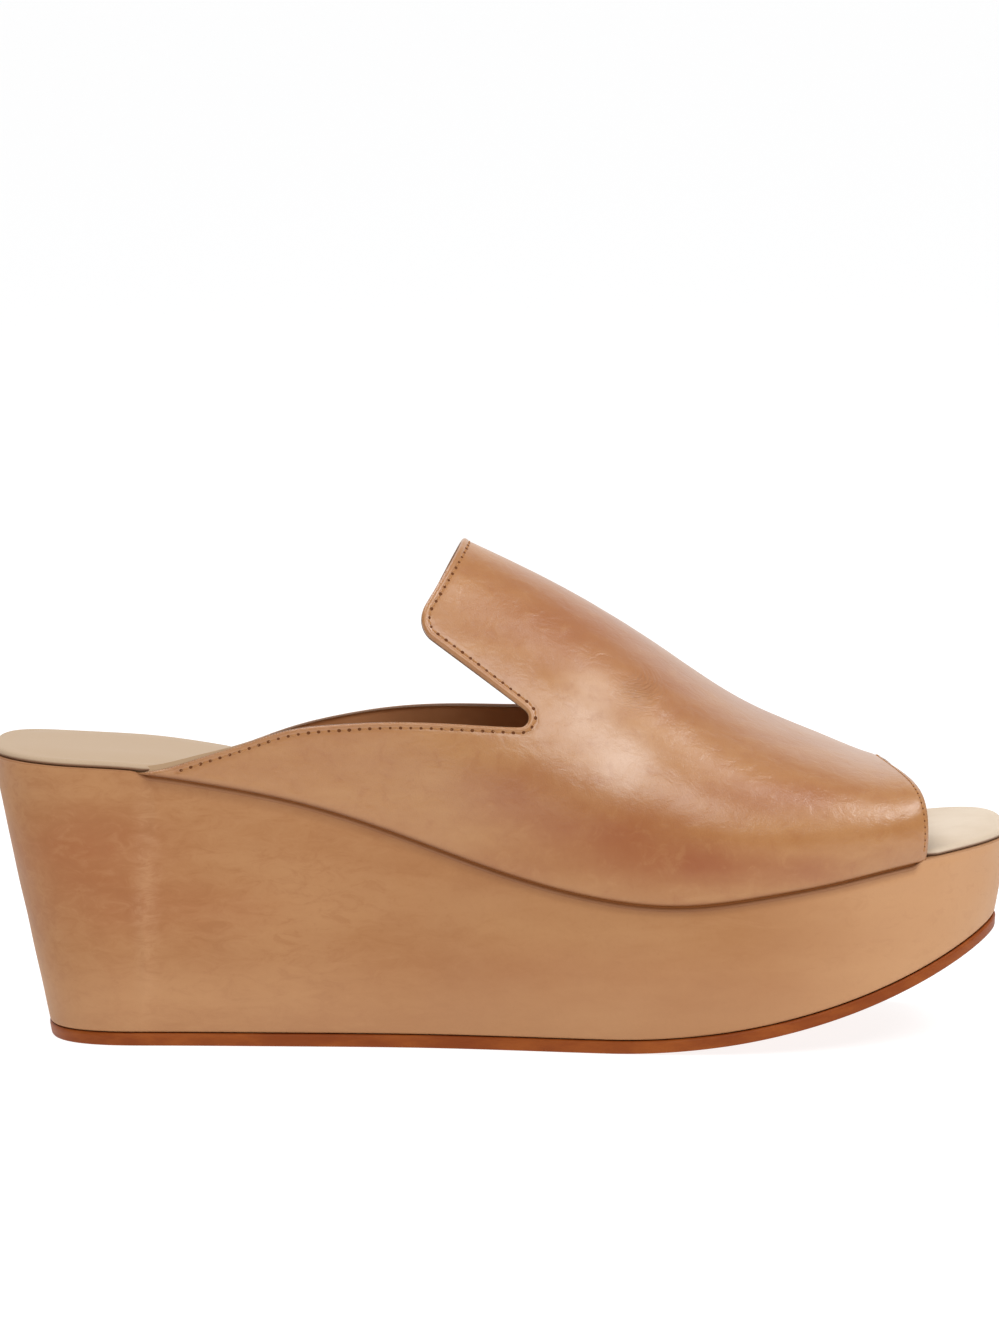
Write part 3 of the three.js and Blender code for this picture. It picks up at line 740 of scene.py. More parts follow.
def make_wedge():
    side = np.concatenate([-np.ones(steps + 1), np.ones(steps - 1)])
    along, x_foot, y_foot = sole_ring(0, 0, steps)
    _, x_top, y_top = sole_ring(1, 0, steps)
    low = tread(x_foot) + outsole_thickness + clearance * 0.2
    cover = upper_cover(side, along)
    high = seat(along) - cover * (margin + clearance)
    tip = mix(bare_round, covered_round, cover)
    slow_set = wave_set(7, 90, 30)
    quick_set = wave_set(7, 26, 9)
    normal = wall_normals(x_top, y_top)
    rows = [moved_in(x_foot, y_foot, normal, inset, low + height) for inset, height in wedge_foot]
    edge_shades = [np.zeros(count)] * len(wedge_foot)
    for share in np.linspace(0.0, 1.0, wall_rows):
        z = mix(low + wall_start, high - tip, share)
        t = (z - low) / (high - low)
        points = np.stack([mix(x_foot, x_top, t), mix(y_foot, y_top, t), z], 1)
        fade = ease(0, 0.12, share) * (1 - ease(0.9, 1.0, share))
        waves = slow_wobble * wave_height(points, slow_set) + quick_wobble * wave_height(points, quick_set)
        wobble = fade * (waves + wrap_seam(points, share) * (side < 0))
        tuck = tuck_depth * cover * math.exp(-(((1 - share) / tuck_reach) ** 2))
        points[:, :2] += normal * (wobble - tuck)[:, None]
        rows.append(points)
        # painted shade on the wall just under the upper's hem
        edge_shades.append(wall_shade * cover * math.exp(-(((1 - share) / wall_shade_reach) ** 2)))
    for angle in np.radians(np.linspace(12, 90, tip_rows)):
        inset = tip * (1 - math.cos(angle)) + tuck_depth * cover
        rows.append(moved_in(x_top, y_top, normal, inset, high - tip + tip * math.sin(angle)))
        # painted shade on the rounded top edge, darker under the upper
        edge_shades.append(tip_shade + tip_shade * cover)
    rows.append(moved_in(x_top, y_top, normal, top_inset, high - 0.05))
    # the flat underside and top, which other pieces cover
    _, x_under, y_under = sole_ring(0, wedge_foot[0][0], steps)
    x_in, y_in = rows[-1][:, 0], rows[-1][:, 1]
    foot = outsole_thickness + under_cover
    under = cap(x_under, y_under, along, (0.3, 1.0), lambda a, b, share: tread(a) + foot)
    top = cap(x_in, y_in, along, (0.25, 1.0), lambda a, b, share: seat(a / shoe_length) - under_cover)
    last = (len(rows) - 1) * count
    under_start = last + count
    top_start = under_start + 2 * count
    faces = grid_faces(len(rows), count)
    faces += flipped(grid_faces(2, count, True, under_start))
    faces += bridge(under_start, 0, count)
    faces += bridge(last, top_start, count)
    faces += grid_faces(2, count, True, top_start)
    rows += under + top
    rub_and_shade = np.concatenate(edge_shades + [np.zeros(count)] * (len(rows) - len(edge_shades)))
    return mesh_object("wedge_look", placed(np.concatenate(rows)), faces, [wedge_skin], None, True, rub_and_shade)


def insole_side(side, along):
    """How far the insole stays in from the wedge's edge: more where the upper comes up beside it."""
    result = np.full(len(along), float(insole_inset))
    for name, sign in sides.items():
        tail = tail_along[name] - clearance / shoe_length
        toe = toe_along[name] + clearance / shoe_length
        enter = ease(tail + insole_step, tail + 2.5 * insole_step, along)
        leave = ease(toe, toe + insole_step, along)
        inset = mix(insole_inset, upper_wall + clearance, enter * (1 - leave))
        result = np.where(side == sign, inset, result)
    return result


# The insole's rolled edge: how far in, and how high. Its first rows, down the side that lies in shade, carry
# painted shade in brown
insole_profile = [(1.6, 0.15), (0.5, 0.12), (0.12, 0.3), (0.0, 0.6), (0.05, 0.95), (0.25, 1.3)]
insole_profile += [(0.6, 1.58), (1.1, 1.74), (1.7, 1.76), (2.3, 1.72), (3.0, 1.78)]
shaded_rows = 4
side_shade = 0.8
insole_rings = 25
crown_swell = insole_crown + 0.1
crown_pace = 2.2


def make_insole():
    _, x_wall, y_wall = sole_ring(1, 0, steps)
    normal = wall_normals(x_wall, y_wall)
    along, x, y = sole_ring(1, insole_side, steps)
    rows = [moved_in(x, y, normal, inset, seat(along) + height) for inset, height in insole_profile]
    edge_height = insole_profile[-1][1]

    def height(a, b, share):
        swell = math.sin(min(share * crown_pace, 1) * math.pi / 2)
        return seat(a / shoe_length) + edge_height + crown_swell * swell

    rows += cap(rows[-1][:, 0], rows[-1][:, 1], along, np.linspace(0, 1, insole_rings + 1)[1:], height)
    # painted shade on the first rows, down the insole's side
    rub_and_shade = np.zeros(len(rows) * count)
    rub_and_shade[: shaded_rows * count] = side_shade
    faces = grid_faces(len(rows), count)
    return mesh_object("insole_look", placed(np.concatenate(rows)), faces, [insole_skin], None, True, rub_and_shade)


# The upper: one surface over foot length u and way round v, -1 at the lateral edge, 0 at the ridge


lower_part = 0.16


def upper_point(u, v):
    u = np.asarray(u, float)
    v = np.asarray(v, float)
    sign = np.where(v < 0, -1.0, 1.0)
    way = np.clip(1 - np.abs(v), 0, 1)
    half = np.where(v < 0, half_width("lateral", u), half_width("medial", u))
    swell = np.where(v < 0, section["lateral"](u), section["medial"](u))
    crown = np.where(v < 0, arch["lateral"](u), arch["medial"](u))
    edge = sign * half
    wide = edge + sign * bulge * swell
    base = seat(u) - margin
    rise = instep_rise * section["rise"](u)
    top = seat(u) + rise
    widest = seat(u) + rise * arch["widest"](u)
    ridge = ball_width * section["ridge"](u)
    t = np.clip(way / lower_part, 0, 1)
    y_low = mix(edge, wide, 1 - (1 - t) ** 2)
    z_low = mix(base, widest, t)
    s = np.clip((way - lower_part) / (1 - lower_part), 0, 1)
    upright = mix(widest, top, arch["wall"](u))
    level = mix(ridge, wide, crown)
    a, b, c, d = (1 - s) ** 3, 3 * s * (1 - s) ** 2, 3 * s * s * (1 - s), s**3
    y_high = a * wide + b * wide + c * level + d * ridge
    z_high = a * widest + b * upright + c * top + d * top
    low = way < lower_part
    return np.stack([u * shoe_length, np.where(low, y_low, y_high), np.where(low, z_low, z_high)], -1)


def upper_frame(u, v):
    """Points of the upper's outside with their outward normals and both surface directions."""
    du = 0.0008
    dv = 0.004
    u = np.asarray(u, float)
    v = np.clip(np.asarray(v, float), -1, 1)
    point = upper_point(u, v)
    along = (upper_point(u + du, v) - upper_point(u - du, v)) / (2 * du)
    v_low = np.clip(v - dv, -1, 1)
    v_high = np.clip(v + dv, -1, 1)
    across = (upper_point(u, v_high) - upper_point(u, v_low)) / (v_high - v_low)[..., None]
    normal = np.cross(along, across)
    normal /= np.linalg.norm(normal, axis=-1)[..., None]
    return point, normal, along, across


def way_at_height(side, u, z):
    """The v on one side where the section at u reaches height z."""
    sign = sides[side]
    low = np.zeros(len(u))
    high = np.ones(len(u))
    for _ in range(40):
        mid = (low + high) / 2
        below = upper_point(u, sign * (1 - mid))[:, 2] < z
        low = np.where(below, mid, low)
        high = np.where(below, high, mid)
    return sign * (1 - (low + high) / 2)


def rounded_corner(before, corner, after, radius, steps=14):
    """Points of the arc that rounds a corner between two straight lines."""
    before, corner, after = (np.array(p, float) for p in (before, corner, after))
    one = (before - corner) / np.linalg.norm(before - corner)
    two = (after - corner) / np.linalg.norm(after - corner)
    half = math.acos(float(one @ two)) / 2
    middle = one + two
    centre = corner + middle / np.linalg.norm(middle) * radius / math.sin(half)
    first = corner + one * radius / math.tan(half) - centre
    second = corner + two * radius / math.tan(half) - centre
    turn = math.pi - 2 * half
    points = []
    for i in range(steps + 1):
        a = math.sin((1 - i / steps) * turn) / math.sin(turn)
        b = math.sin(i / steps * turn) / math.sin(turn)
        points.append(centre + a * first + b * second)
    return np.array(points)


# Kinds of edge: notch also stands for the tongue's underside, and tongue for its back
collar_kind, notch_kind, tongue_kind, toe_kind, hem_kind = range(5)


def side_edge(side):
    """One side's edge from its tail to the tongue's top, as rows of u, v and the kind of edge."""
    skew = tongue_skew if side == "medial" else 0

    def collar_height(u):
        return seat(u) + collar_rise * collar_share[side](u)

    def tongue_place(along, share, shift):
        return along * shoe_length + shift, float(seat(along)) + share * instep_rise

    def rows_at(points, kind):
        u = points[:, 0] / shoe_length
        return [(a, b, kind) for a, b in zip(u, way_at_height(side, u, points[:, 1]))]

    starts = np.linspace(tail_along[side] - 0.02, tail_along[side] + 0.05, 4000)
    above = collar_height(starts) > seat(starts) - margin + 0.05
    u = np.linspace(float(starts[np.argmax(above)]), collar_end, 150)
    rows = [(a, b, collar_kind) for a, b in zip(u, way_at_height(side, u, collar_height(u)))]
    collar_last = (collar_end * shoe_length, float(collar_height(collar_end)))
    notch = (notch_along * shoe_length, float(collar_height(notch_along)))
    corner = tongue_place(*tongue_corner, skew)
    top = tongue_place(*tongue_top, 0)
    notch_arc = rounded_corner(collar_last, notch, corner, notch_round)
    corner_arc = rounded_corner(notch, corner, top, tongue_round)
    rows += rows_at(np.linspace(collar_last, notch_arc[0], 8)[1:-1], collar_kind)
    rows += rows_at(notch_arc, notch_kind)
    rows += rows_at(np.linspace(notch_arc[-1], corner_arc[0], 70)[1:-1], notch_kind)
    rows += rows_at(corner_arc, tongue_kind)
    steep = (top[0] - corner[0]) / (top[1] - corner[1])
    v = np.linspace(rows[-1][1], 0, 70)[1:]
    u = np.full(len(v), rows[-1][0])
    for _ in range(30):
        z = upper_point(u, v)[:, 2]
        u = (corner[0] + (z - corner[1]) * steep) / shoe_length
    return rows + [(a, b, tongue_kind) for a, b in zip(u, v)]


def toe_rows():
    """The edge of the toe opening, from the medial side to the lateral one."""
    v = np.linspace(1, -1, 170)
    u = np.full(len(v), toe_opening / shoe_length)
    for _ in range(30):
        u = toe_edge(upper_point(u, v)[:, 1]) / shoe_length
    return [(a, b, toe_kind) for a, b in zip(u, v)]


def travelled(points):
    """How far each point lies along a line, from its first."""
    return np.concatenate([[0], np.cumsum(np.linalg.norm(np.diff(points, axis=0), axis=1))])


def evened(rows, spacing):
    """The rows of a closed loop spaced evenly in space, keeping each stretch's kind."""
    rows = np.array(rows, float)
    points = upper_point(rows[:, 0], rows[:, 1])
    step = np.linalg.norm(np.diff(points, axis=0), axis=1)
    keep = np.concatenate([[True], step > 1e-4])
    rows = np.vstack([rows[keep], rows[:1]])
    far = travelled(np.vstack([points[keep], points[:1]]))
    at = np.linspace(0, far[-1], int(far[-1] / spacing), endpoint=False)
    stretch = np.clip(np.searchsorted(far, at, side="right") - 1, 0, len(far) - 2)
    return np.interp(at, far, rows[:, 0]), np.interp(at, far, rows[:, 1]), rows[stretch, 2].astype(int)


lateral_edge = side_edge("lateral")
medial_edge = side_edge("medial")
toe_line = toe_rows()
hem_medial = [(u, 1.0, hem_kind) for u in np.linspace(medial_edge[0][0], toe_line[0][0], 160)[1:-1]]
hem_lateral = [(u, -1.0, hem_kind) for u in np.linspace(toe_line[-1][0], lateral_edge[0][0], 180)[1:-1]]
loop_rows = lateral_edge + medial_edge[::-1][1:] + hem_medial + toe_line + hem_lateral
loop_spacing = 0.75
loop_u, loop_v, loop_kind = evened(loop_rows, loop_spacing)
loop_count = len(loop_u)
loop_point, loop_normal, _, _ = upper_frame(loop_u, loop_v)
loop_tangent = np.roll(loop_point, -1, 0) - np.roll(loop_point, 1, 0)
loop_tangent /= np.linalg.norm(loop_tangent, axis=1)[:, None]
loop_inward = np.cross(loop_tangent, loop_normal)
loop_inward /= np.linalg.norm(loop_inward, axis=1)[:, None]


def even_out(values, times):
    for _ in range(times):
        values = (np.roll(values, 1, 0) + values + np.roll(values, -1, 0)) / 3
    return values


def by_kind(values, times):
    """One value for each kind of edge, set along the loop and evened out."""
    return even_out(np.array(values)[loop_kind], times)


# Along the edges: how far in the stitches run, how much the leather swells before them and sinks there,
# how far in it starts to round over and how deep, and how much painted shade it carries, with a little rub.
# Collar, notch, tongue, toe, hem
loop_gap = by_kind([1.4, 1.9, 1.85, 1.4, 1.9], 12)
loop_fold = by_kind([0.16, 0.26, 0.2, 0.0, 0.0], 6)
loop_depth = by_kind([0.16, 0.18, 0.16, 0.03, 0.0], 6)
loop_reach = by_kind([0.6, 0.6, 0.6, 3.5, 1.4], 4)
loop_drop = by_kind([0.6, 0.6, 0.6, 0.8, 0.85], 4)
loop_shade_and_rub = by_kind([0.1, 0.1, 0.1, 0.15, 0.75], 4)


def move_in(u, v, along, across, inward, distance):
    """Moves (u, v) by a distance along a direction that lies in the surface."""
    aa = np.einsum("ij,ij->i", along, along)
    ab = np.einsum("ij,ij->i", along, across)
    bb = np.einsum("ij,ij->i", across, across)
    da = np.einsum("ij,ij->i", along, inward) * distance
    db = np.einsum("ij,ij->i", across, inward) * distance
    spread = aa * bb - ab * ab
    return u + (bb * da - ab * db) / spread, v + (aa * db - ab * da) / spread


def ring_at(distance):
    """The loop moved in by a distance, in small steps."""
    u, v = loop_u.copy(), loop_v.copy()
    moves = max(1, int(np.max(distance) / 0.8) + 1)
    inward = even_out(loop_inward, 3)
    for _ in range(moves):
        _, _, along, across = upper_frame(u, v)
        u, v = move_in(u, v, along, across, inward, distance / moves)
    return u, v


def inside_loop(u, v):
    """True where (u, v) lies inside the loop."""
    inside = np.zeros(len(u), bool)
    x1, y1 = loop_u, loop_v
    x2, y2 = np.roll(loop_u, -1), np.roll(loop_v, -1)
    for i in range(loop_count):
        crosses = (y1[i] > v) != (y2[i] > v)
        if not crosses.any():
            continue
        at = x1[i] + (v[crosses] - y1[i]) / (y2[i] - y1[i]) * (x2[i] - x1[i])
        inside[crosses] ^= u[crosses] < at
    return inside


loop_tree = KDTree(loop_count)
for index, point in enumerate(loop_point):
    loop_tree.insert(point, index)
loop_tree.balance()


def edge_distance(points):
    """Distance to the loop and the nearest loop index, for each point."""
    near = np.empty(len(points))
    index = np.empty(len(points), int)
    for i, point in enumerate(points):
        _, index[i], near[i] = loop_tree.find(point)
    return near, index


# Creases and soft forms of the upper: places along and in shares of the ridge's height,
# the depth below the surface, which is negative for a swelling, and the width
creases = table(
    "side line depth width",
    ("lateral", [(0.55, 0.67), (0.6, 0.57), (0.655, 0.46)], 1.0, 10.0),
    ("lateral", [(0.5, 0.78), (0.56, 0.7), (0.62, 0.6)], -0.35, 6.0),
    ("lateral", [(0.655, 0.86), (0.662, 0.8), (0.66, 0.74)], 0.12, 1.1),
    ("lateral", [(0.648, 0.88), (0.655, 0.81), (0.652, 0.76)], -0.08, 0.9),
    ("lateral", [(0.64, 0.89), (0.646, 0.83), (0.643, 0.78)], 0.1, 1.0),
    ("lateral", [(0.632, 0.9), (0.637, 0.85), (0.635, 0.8)], 0.07, 0.9),
    ("lateral", [(0.3, 0.1), (0.38, 0.14), (0.46, 0.18)], 0.3, 5.0),
    ("lateral", [(0.7, 0.5), (0.76, 0.45), (0.82, 0.42)], 0.25, 5.0),
    ("medial", [(0.62, 0.85), (0.635, 0.7), (0.63, 0.55)], 0.35, 4.0),
    ("medial", [(0.66, 0.85), (0.672, 0.7), (0.665, 0.58)], 0.18, 2.0),
    ("medial", [(0.35, 0.12), (0.43, 0.2), (0.5, 0.26)], 0.3, 5.0),
)


crease_steps = 25
crease_taper = np.sin(np.pi * (np.arange(crease_steps) + 0.5) / crease_steps) ** 0.7


def eased_line(values):
    """Three values as a smooth row of many, with both ends kept."""
    values = np.interp(np.linspace(0, 2, crease_steps), range(3), values)
    for _ in range(12):
        values[1:-1] = (values[:-2] + values[1:-1] + values[2:]) / 3
    return values


def crease_line(crease):
    u, share = (eased_line(values) for values in zip(*crease["line"]))
    z = seat(u) + share * instep_rise * section["rise"](u)
    return upper_point(u, way_at_height(crease["side"], u, z)), crease["depth"], crease["width"]


crease_set = [crease_line(crease) for crease in creases]
trough_width = 0.38
slow_height, small_height = 0.1, 0.018
waves_from, waves_full = 1.0, 8.0
slow_waves = wave_set(8, 70, 28)
small_waves = wave_set(9, 16, 6)


def surface_lift(points, near, index):
    """How far the leather stands above the plain surface: folds, stitch trough, creases and waves."""
    gap = loop_gap[index]
    fold = loop_fold[index] * np.sin(np.pi * np.clip(near / gap, 0, 1)) ** 1.3
    lift = fold - loop_depth[index] * np.exp(-(((near - gap) / trough_width) ** 2))
    for line, depth, width in crease_set:
        gaps = np.linalg.norm(points[:, None, :] - line[None, :, :], axis=2)
        nearest = gaps.min(1)
        close = np.exp(-(((gaps - nearest[:, None]) / (0.4 * width)) ** 2))
        taper = close @ crease_taper / close.sum(1)
        lift -= depth * taper * np.exp(-((nearest / width) ** 2))
    waves = slow_height * wave_height(points, slow_waves) + small_height * wave_height(points, small_waves)
    return lift + ease(waves_from, waves_full, near) * waves


# How far in the rings of points beside the edge run, and how wide the grid between them is
ring_gaps = [0.0, 0.1, 0.24, 0.42, 0.7, 1.05, 1.4, 1.75, 2.1, 2.6, 3.3]
outer_spacing = 1.15
lining_gaps = [0.0, 1.5, 3.0]
lining_spacing = 2.2

# The way round the upper from edge to edge, roughly, and half of it where the triangles are laid out
upper_way = 150
flat_half = 70


def inner_grid(spacing):
    """A grid over the whole upper, every other row shifted by half a step."""
    u_low, u_high = loop_u.min(), loop_u.max()
    u_count = int((u_high - u_low) * shoe_length / spacing)
    us = np.linspace(u_low, u_high, u_count)
    vs = np.linspace(-1, 1, int(upper_way / spacing))
    grid_u, grid_v = np.meshgrid(us, vs, indexing="ij")
    grid_u[:, 1::2] += (u_high - u_low) / u_count / 2
    return grid_u.ravel(), grid_v.ravel()


def sheet_points(gaps, spacing):
    """Places inside the loop: the loop itself, rings beside it, then a grid."""
    us, vs = [loop_u], [loop_v]
    for gap in gaps[1:]:
        u, v = ring_at(np.full(loop_count, gap))
        keep = inside_loop(u, v)
        near, _ = edge_distance(upper_point(u[keep], np.clip(v[keep], -1, 1)))
        inside = np.where(keep)[0][near > gap * 0.8]
        us.append(u[inside])
        vs.append(v[inside])
    u, v = inner_grid(spacing)
    keep = inside_loop(u, v)
    u, v = u[keep], v[keep]
    near, _ = edge_distance(upper_point(u, v))
    far = near > gaps[-1] + 0.45
    us.append(u[far])
    vs.append(v[far])
    return np.concatenate(us), np.concatenate(vs)


def triangulated(u, v):
    """Triangles of the points inside the loop, whose own points come first."""
    flat = [Vector((a * shoe_length, b * flat_half)) for a, b in zip(u, v)]
    edges = [(i, (i + 1) % loop_count) for i in range(loop_count)]
    _, _, faces, origin, _, _ = delaunay_2d_cdt(flat, edges, [list(range(loop_count))], 1, 1e-5)
    lookup = [o[0] if o else -1 for o in origin]
    return [[lookup[i] for i in face] for face in faces if all(lookup[i] >= 0 for i in face)]


# The rim, row by row: how deep it lies, and how far it is pulled in. First the leather's edge, then a fine
# groove, then the lining's rolled edge, which stands up a little above the leather at the tails
rim_start = 0.6
rim_depths = [0.85, 1.1, 1.22, 1.32, 1.45, 1.65, 1.85, 2.0]
rim_pulls = [0.0, 0.04, 0.2, 0.2, 0.05, 0.02, 0.12, 0.35]
outer_skin, cut_skin, rolled_skin, inner_skin, pale_skin = range(5)
rim_skins = [outer_skin] * 2 + [cut_skin] * 2 + [rolled_skin] * 4
lining_from = 1.4
pale_until = 0.27
stands_up = 1.3
lining_follows = 0.7
calm_at = 6
# how far in from the edge the painted shade and rub reach
shade_and_rub_width = 0.8
proud = stands_up * even_out((loop_kind == collar_kind) * (1 - ease(0.16, pale_until, loop_u)), 4)


def make_upper():
    u, v = sheet_points(ring_gaps, outer_spacing)
    point, normal, _, _ = upper_frame(u, v)
    near, index = edge_distance(point)
    near[:loop_count] = 0
    out = np.clip(1 - near / loop_reach[index], 0, 1)
    drop = loop_drop[index] * (1 - np.sqrt(1 - out**2))
    outer = point + normal * (surface_lift(point, near, index) - drop)[:, None]
    groups = [outer]
    for depth, pull in zip(rim_depths, rim_pulls):
        deep = mix(loop_drop, upper_wall, (depth - rim_start) / (upper_wall - rim_start))
        inwards = pull - (depth > lining_from) * proud
        groups.append(loop_point - loop_normal * deep[:, None] + loop_inward * inwards[:, None])
    inner_u, inner_v = sheet_points(lining_gaps, lining_spacing)
    point, normal, _, _ = upper_frame(inner_u, inner_v)
    inner_near, inner_index = edge_distance(point)
    lift = surface_lift(point, np.maximum(inner_near, calm_at), inner_index)
    follow = lining_follows * np.where(inner_near > lining_gaps[-1], lift, 0)
    inner = point - normal * (upper_wall - follow)[:, None]
    inner[:loop_count] = groups[-1]
    groups[-1] = inner
    faces = triangulated(u, v)
    kinds = [outer_skin] * len(faces)
    firsts = [0] + list(len(outer) + loop_count * np.arange(len(rim_depths)))
    at_tail = (loop_kind == collar_kind) & (loop_u < pale_until)
    for one, two, kind in zip(firsts, firsts[1:], rim_skins):
        faces += bridge(two, one, loop_count)
        kinds += [pale_skin if kind == rolled_skin and tail else kind for tail in at_tail]
    inner_faces = triangulated(inner_u, inner_v)
    faces += [[firsts[-1] + i for i in face][::-1] for face in inner_faces]
    kinds += [inner_skin] * len(inner_faces)
    rub_and_shade = np.zeros(sum(len(group) for group in groups))
    # painted shade beside the hem, where it meets the wedge, and a little rub along the cut edges
    rub_and_shade[: len(outer)] = loop_shade_and_rub[index] * np.exp(-((near / shade_and_rub_width) ** 2))
    skins = [upper_skin, edge_skin, lining_edge, lining_skin, pale_edge]
    return mesh_object("upper_look", placed(np.concatenate(groups)), faces, skins, kinds, False, rub_and_shade)


def ellipsoid(rings, segments):
    """Points and faces of a unit ball."""
    points = [(0, 0, 1)]
    for i in range(1, rings):
        a = math.pi * i / rings
        for j in range(segments):
            b = 2 * math.pi * j / segments
            points.append((math.sin(a) * math.cos(b), math.sin(a) * math.sin(b), math.cos(a)))
    points.append((0, 0, -1))
    faces = []
    for j in range(segments):
        k = (j + 1) % segments
        faces.append([0, 1 + j, 1 + k])
        for i in range(rings - 2):
            a = 1 + i * segments
            faces.append([a + j, a + segments + j, a + segments + k, a + k])
        a = 1 + (rings - 2) * segments
        faces.append([a + j, len(points) - 1, a + k])
    return np.array(points, float), faces


stitches_from = 0.178
stitch_pitch = 2.5
toe_pitch = 1.6
hole_radius, toe_hole_radius = 0.36, 0.2
hole_corners = 12
hole_lift, hole_middle_lift = 0.04, 0.045
thread_radius, thread_height, thread_sunk = 0.27, 0.2, 0.02
landing_reach = 1.2


def stitch_path():
    """The stitch line beside the loop, as points and normals, and True where it is sewn."""
    u, v = ring_at(loop_gap)
    point, normal, _, _ = upper_frame(u, v)
    near, index = edge_distance(point)
    point = point + normal * surface_lift(point, near, index)[:, None]
    tail = (loop_kind == collar_kind) & (loop_u < stitches_from)
    return point, normal, (loop_kind != hem_kind) & (near > 1.0) & ~tail


def sewn_runs(sewn):
    """The unbroken stretches of the loop that are sewn, each as a list of loop indices."""
    runs = [[]]
    for i, stitched in enumerate(sewn):
        if stitched:
            runs[-1].append(i)
        elif runs[-1]:
            runs.append([])
    return [run for run in runs if run]


def between(place, far, rows):
    return np.array([np.interp(place, far, rows[:, k]) for k in range(3)])


def make_stitches(leather_object):
    """Sunk threads and, between them, dark discs of painted shade for the stitch holes, laid on the upper's
    own surface.
    """
    point, normal, sewn = stitch_path()
    surface = BVHTree.FromObject(leather_object, bpy.context.evaluated_depsgraph_get())
    offset = np.array([middle_x, middle_y, 0.0])

    def landed(spot, top):
        start = Vector((spot + top * landing_reach - offset) * MM)
        hit = surface.ray_cast(start, Vector(-top), 2 * landing_reach * MM)[0]
        return spot if hit is None else np.array(hit) / MM + offset

    uneven = random.Random(11)
    ball, ball_faces = ellipsoid(5, 8)
    threads, thread_faces, hole_shades, hole_shade_faces = [], [], [], []
    for run in sewn_runs(sewn):
        line, up = point[run], normal[run]
        far = travelled(line)
        at_toe = loop_kind[run[len(run) // 2]] == toe_kind
        pitch = toe_pitch if at_toe else stitch_pitch
        radius = toe_hole_radius if at_toe else hole_radius
        place = pitch
        while place < far[-1] - pitch:
            here = between(place, far, line)
            top = between(place, far, up)
            top /= np.linalg.norm(top)
            forward = between(place + 0.3, far, line) - here
            forward -= top * (forward @ top)
            forward /= np.linalg.norm(forward)
            across = np.cross(top, forward)
            hole_size = radius * uneven.uniform(0.85, 1.15)
            start = len(hole_shades)
            here = landed(here, top)
            hole_shades += [here + top * hole_middle_lift]
            for angle in np.arange(hole_corners) * 2 * math.pi / hole_corners:
                corner = here + hole_size * (math.cos(angle) * forward * 1.2 + math.sin(angle) * across)
                hole_shades.append(landed(corner, top) + top * hole_lift)
            ring = [start + 1 + k for k in range(hole_corners)]
            hole_shade_faces += [[start, one, two] for one, two in zip(ring, ring[1:] + ring[:1])]
            middle = place + pitch / 2
            if middle < far[-1] - pitch:
                reach = pitch / 2 - hole_size * 0.9
                centre = landed(between(middle, far, line), top)
                thread_faces += [[len(threads) + i for i in face] for face in ball_faces]
                for a, b, c in ball:
                    side = forward * a * reach + across * b * thread_radius
                    threads.append(centre + side + top * (c * thread_height - thread_sunk))
            place += pitch
    thread_object = mesh_object("stitch_threads", placed(threads), thread_faces, [thread_skin])
    hole_shade_object = mesh_object("stitch_hole_shades", placed(hole_shades), hole_shade_faces, [hole_shade_skin])
    return thread_object, hole_shade_object


# The strip of painted shade in the seam's groove, row by row: how far in from the wedge's edge, and how high
# over the seat
groove_profile = [(1.2, -2.2), (1.05, -1.4), (1.0, -0.9), (1.2, -0.2)]
groove_columns = 300


def make_groove_shade():
    """A brown strip of painted shade deep in the seam between upper and wedge, so that the shaded gap reads
    brown.
    """
    points, faces = [], []
    for side, sign in sides.items():
        along = np.linspace(tail_along[side] + 0.004, toe_along[side] - 0.003, groove_columns)
        half = half_width(side, along)
        slope = np.gradient(half, along * shoe_length)
        turn = np.hypot(1, slope)
        strip = grid_faces(len(groove_profile), groove_columns, False, len(points))
        faces += flipped(strip) if sign > 0 else strip
        for inset, height in groove_profile:
            x = along * shoe_length + inset * slope / turn
            y = sign * (half - inset / turn)
            points += list(np.stack([x, y, seat(along) + height], 1))
    return mesh_object("seam_groove_shade", placed(points), faces, [groove_shade_skin])


outsole = make_outsole()
wedge = make_wedge()
insole = make_insole()
upper = make_upper()
threads, hole_shades = make_stitches(upper)

for thing, node in ((outsole, "outsole"), (wedge, "wedge"), (insole, "insole"), (upper, "upper")):
    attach(thing, "root")
    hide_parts(node)
groove_shade = make_groove_shade()
for thing in (threads, hole_shades, groove_shade):
    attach(thing, "root")


# Floor, light and camera

wall_at, wall_curve, wall_height = 3.2, 0.9, 3.4
floor_side = 4.0
floor_columns = 7


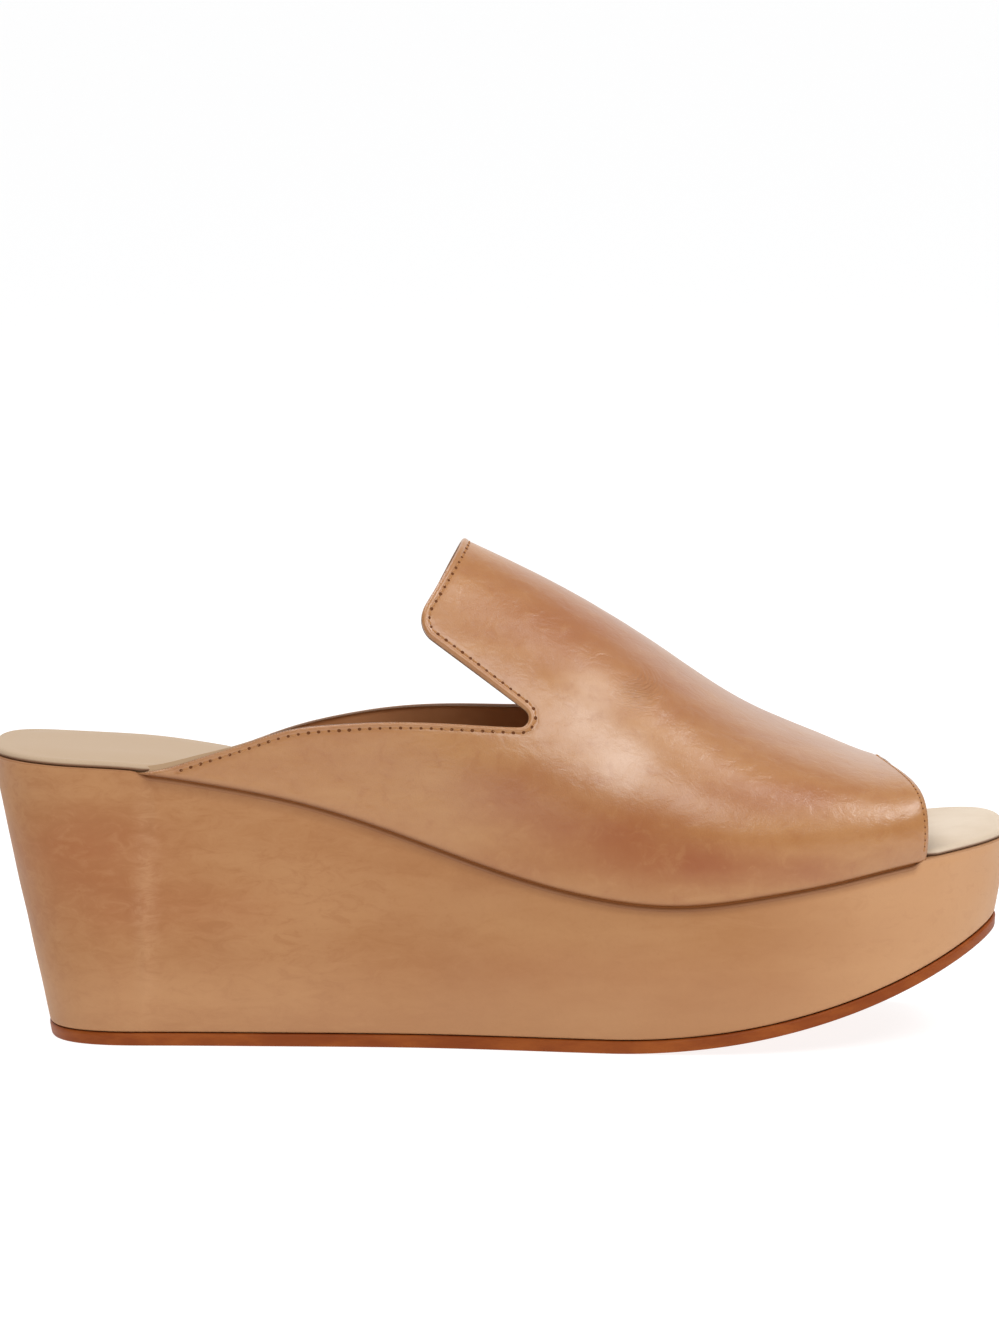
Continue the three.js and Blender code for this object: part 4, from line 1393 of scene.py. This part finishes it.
def make_floor():
    paint = Paint("floor", Roughness=0.8, Specular_IOR_Level=0.0)
    paint.drive("Base Color", (0.3, 0.302, 0.306, 1))
    paint.shader.inputs["Emission Color"].default_value = (1.0, 1.0, 1.0, 1)
    paint.shader.inputs["Emission Strength"].default_value = 0.86
    foot = wall_at - wall_curve
    rows = [(-floor_side, 0.0), (-0.8, 0.0), (0.2, 0.0), (foot, 0.0)]
    for turn in range(10, 100, 10):
        angle = math.radians(turn)
        rows.append((foot + wall_curve * math.sin(angle), wall_curve * (1 - math.cos(angle))))
    rows.append((wall_at, wall_height))
    across = np.linspace(-floor_side, floor_side, floor_columns)
    points = [(x, y, z) for y, z in rows for x in across]
    return mesh_object("floor", points, grid_faces(len(rows), floor_columns, False), [paint.material])


floor = make_floor()

world = bpy.data.worlds.new("studio")
bpy.context.scene.world = world
world.use_nodes = True
world.node_tree.nodes["Background"].inputs["Color"].default_value = (1.0, 1.0, 1.0, 1)
world.node_tree.nodes["Background"].inputs["Strength"].default_value = 0.16

light_reach = 1.3
light_aim = Vector((0.02, 0, 0.06))


def raised(azimuth, height):
    """The direction at an azimuth, which is 0 at the camera's side and turns towards the toe."""
    turn, lift = math.radians(azimuth), math.radians(height)
    level = math.cos(lift)
    return Vector((math.sin(turn) * level, -math.cos(turn) * level, math.sin(lift)))


def area(name, azimuth, height, width, tall, power, roll=0):
    """A soft light that looks at the shoe."""
    data = bpy.data.lights.new(name, "AREA")
    data.shape = "RECTANGLE"
    data.size = width
    data.size_y = tall
    data.energy = power
    light = bpy.data.objects.new(name, data)
    light.location = light_aim + light_reach * raised(azimuth, height)
    facing = (light_aim - light.location).to_track_quat("-Z", "Y")
    light.rotation_euler = (facing @ Quaternion((0, 0, 1), math.radians(roll))).to_euler()
    bpy.context.scene.collection.objects.link(light)


area("key", 1, 40, 0.66, 0.64, 6.8)
area("toe_strip", 71, 49, 0.8, 0.2, 6.6, 38)
area("instep_light", 62, 71, 0.3, 0.16, 1.0)
area("back_light", -120, 62, 0.6, 0.6, 7.6)

elevation = math.radians(6.5)
aim = Vector((-0.0005, 0.0, 0.0904))
distance = 1.5
photo_width = 0.24706
sensor = 36
camera_data = bpy.data.cameras.new("camera")
camera_data.sensor_fit = "HORIZONTAL"
camera_data.sensor_width = sensor
camera_data.lens = sensor * distance / photo_width
camera_data.clip_end = 20
camera = bpy.data.objects.new("camera", camera_data)
camera.location = aim + distance * Vector((0, -math.cos(elevation), math.sin(elevation)))
camera.rotation_euler = (math.pi / 2 - elevation, 0, 0)
bpy.context.scene.collection.objects.link(camera)
bpy.context.scene.camera = camera
bpy.context.scene.view_settings.view_transform = "Standard"
bpy.context.scene.view_settings.look = "None"
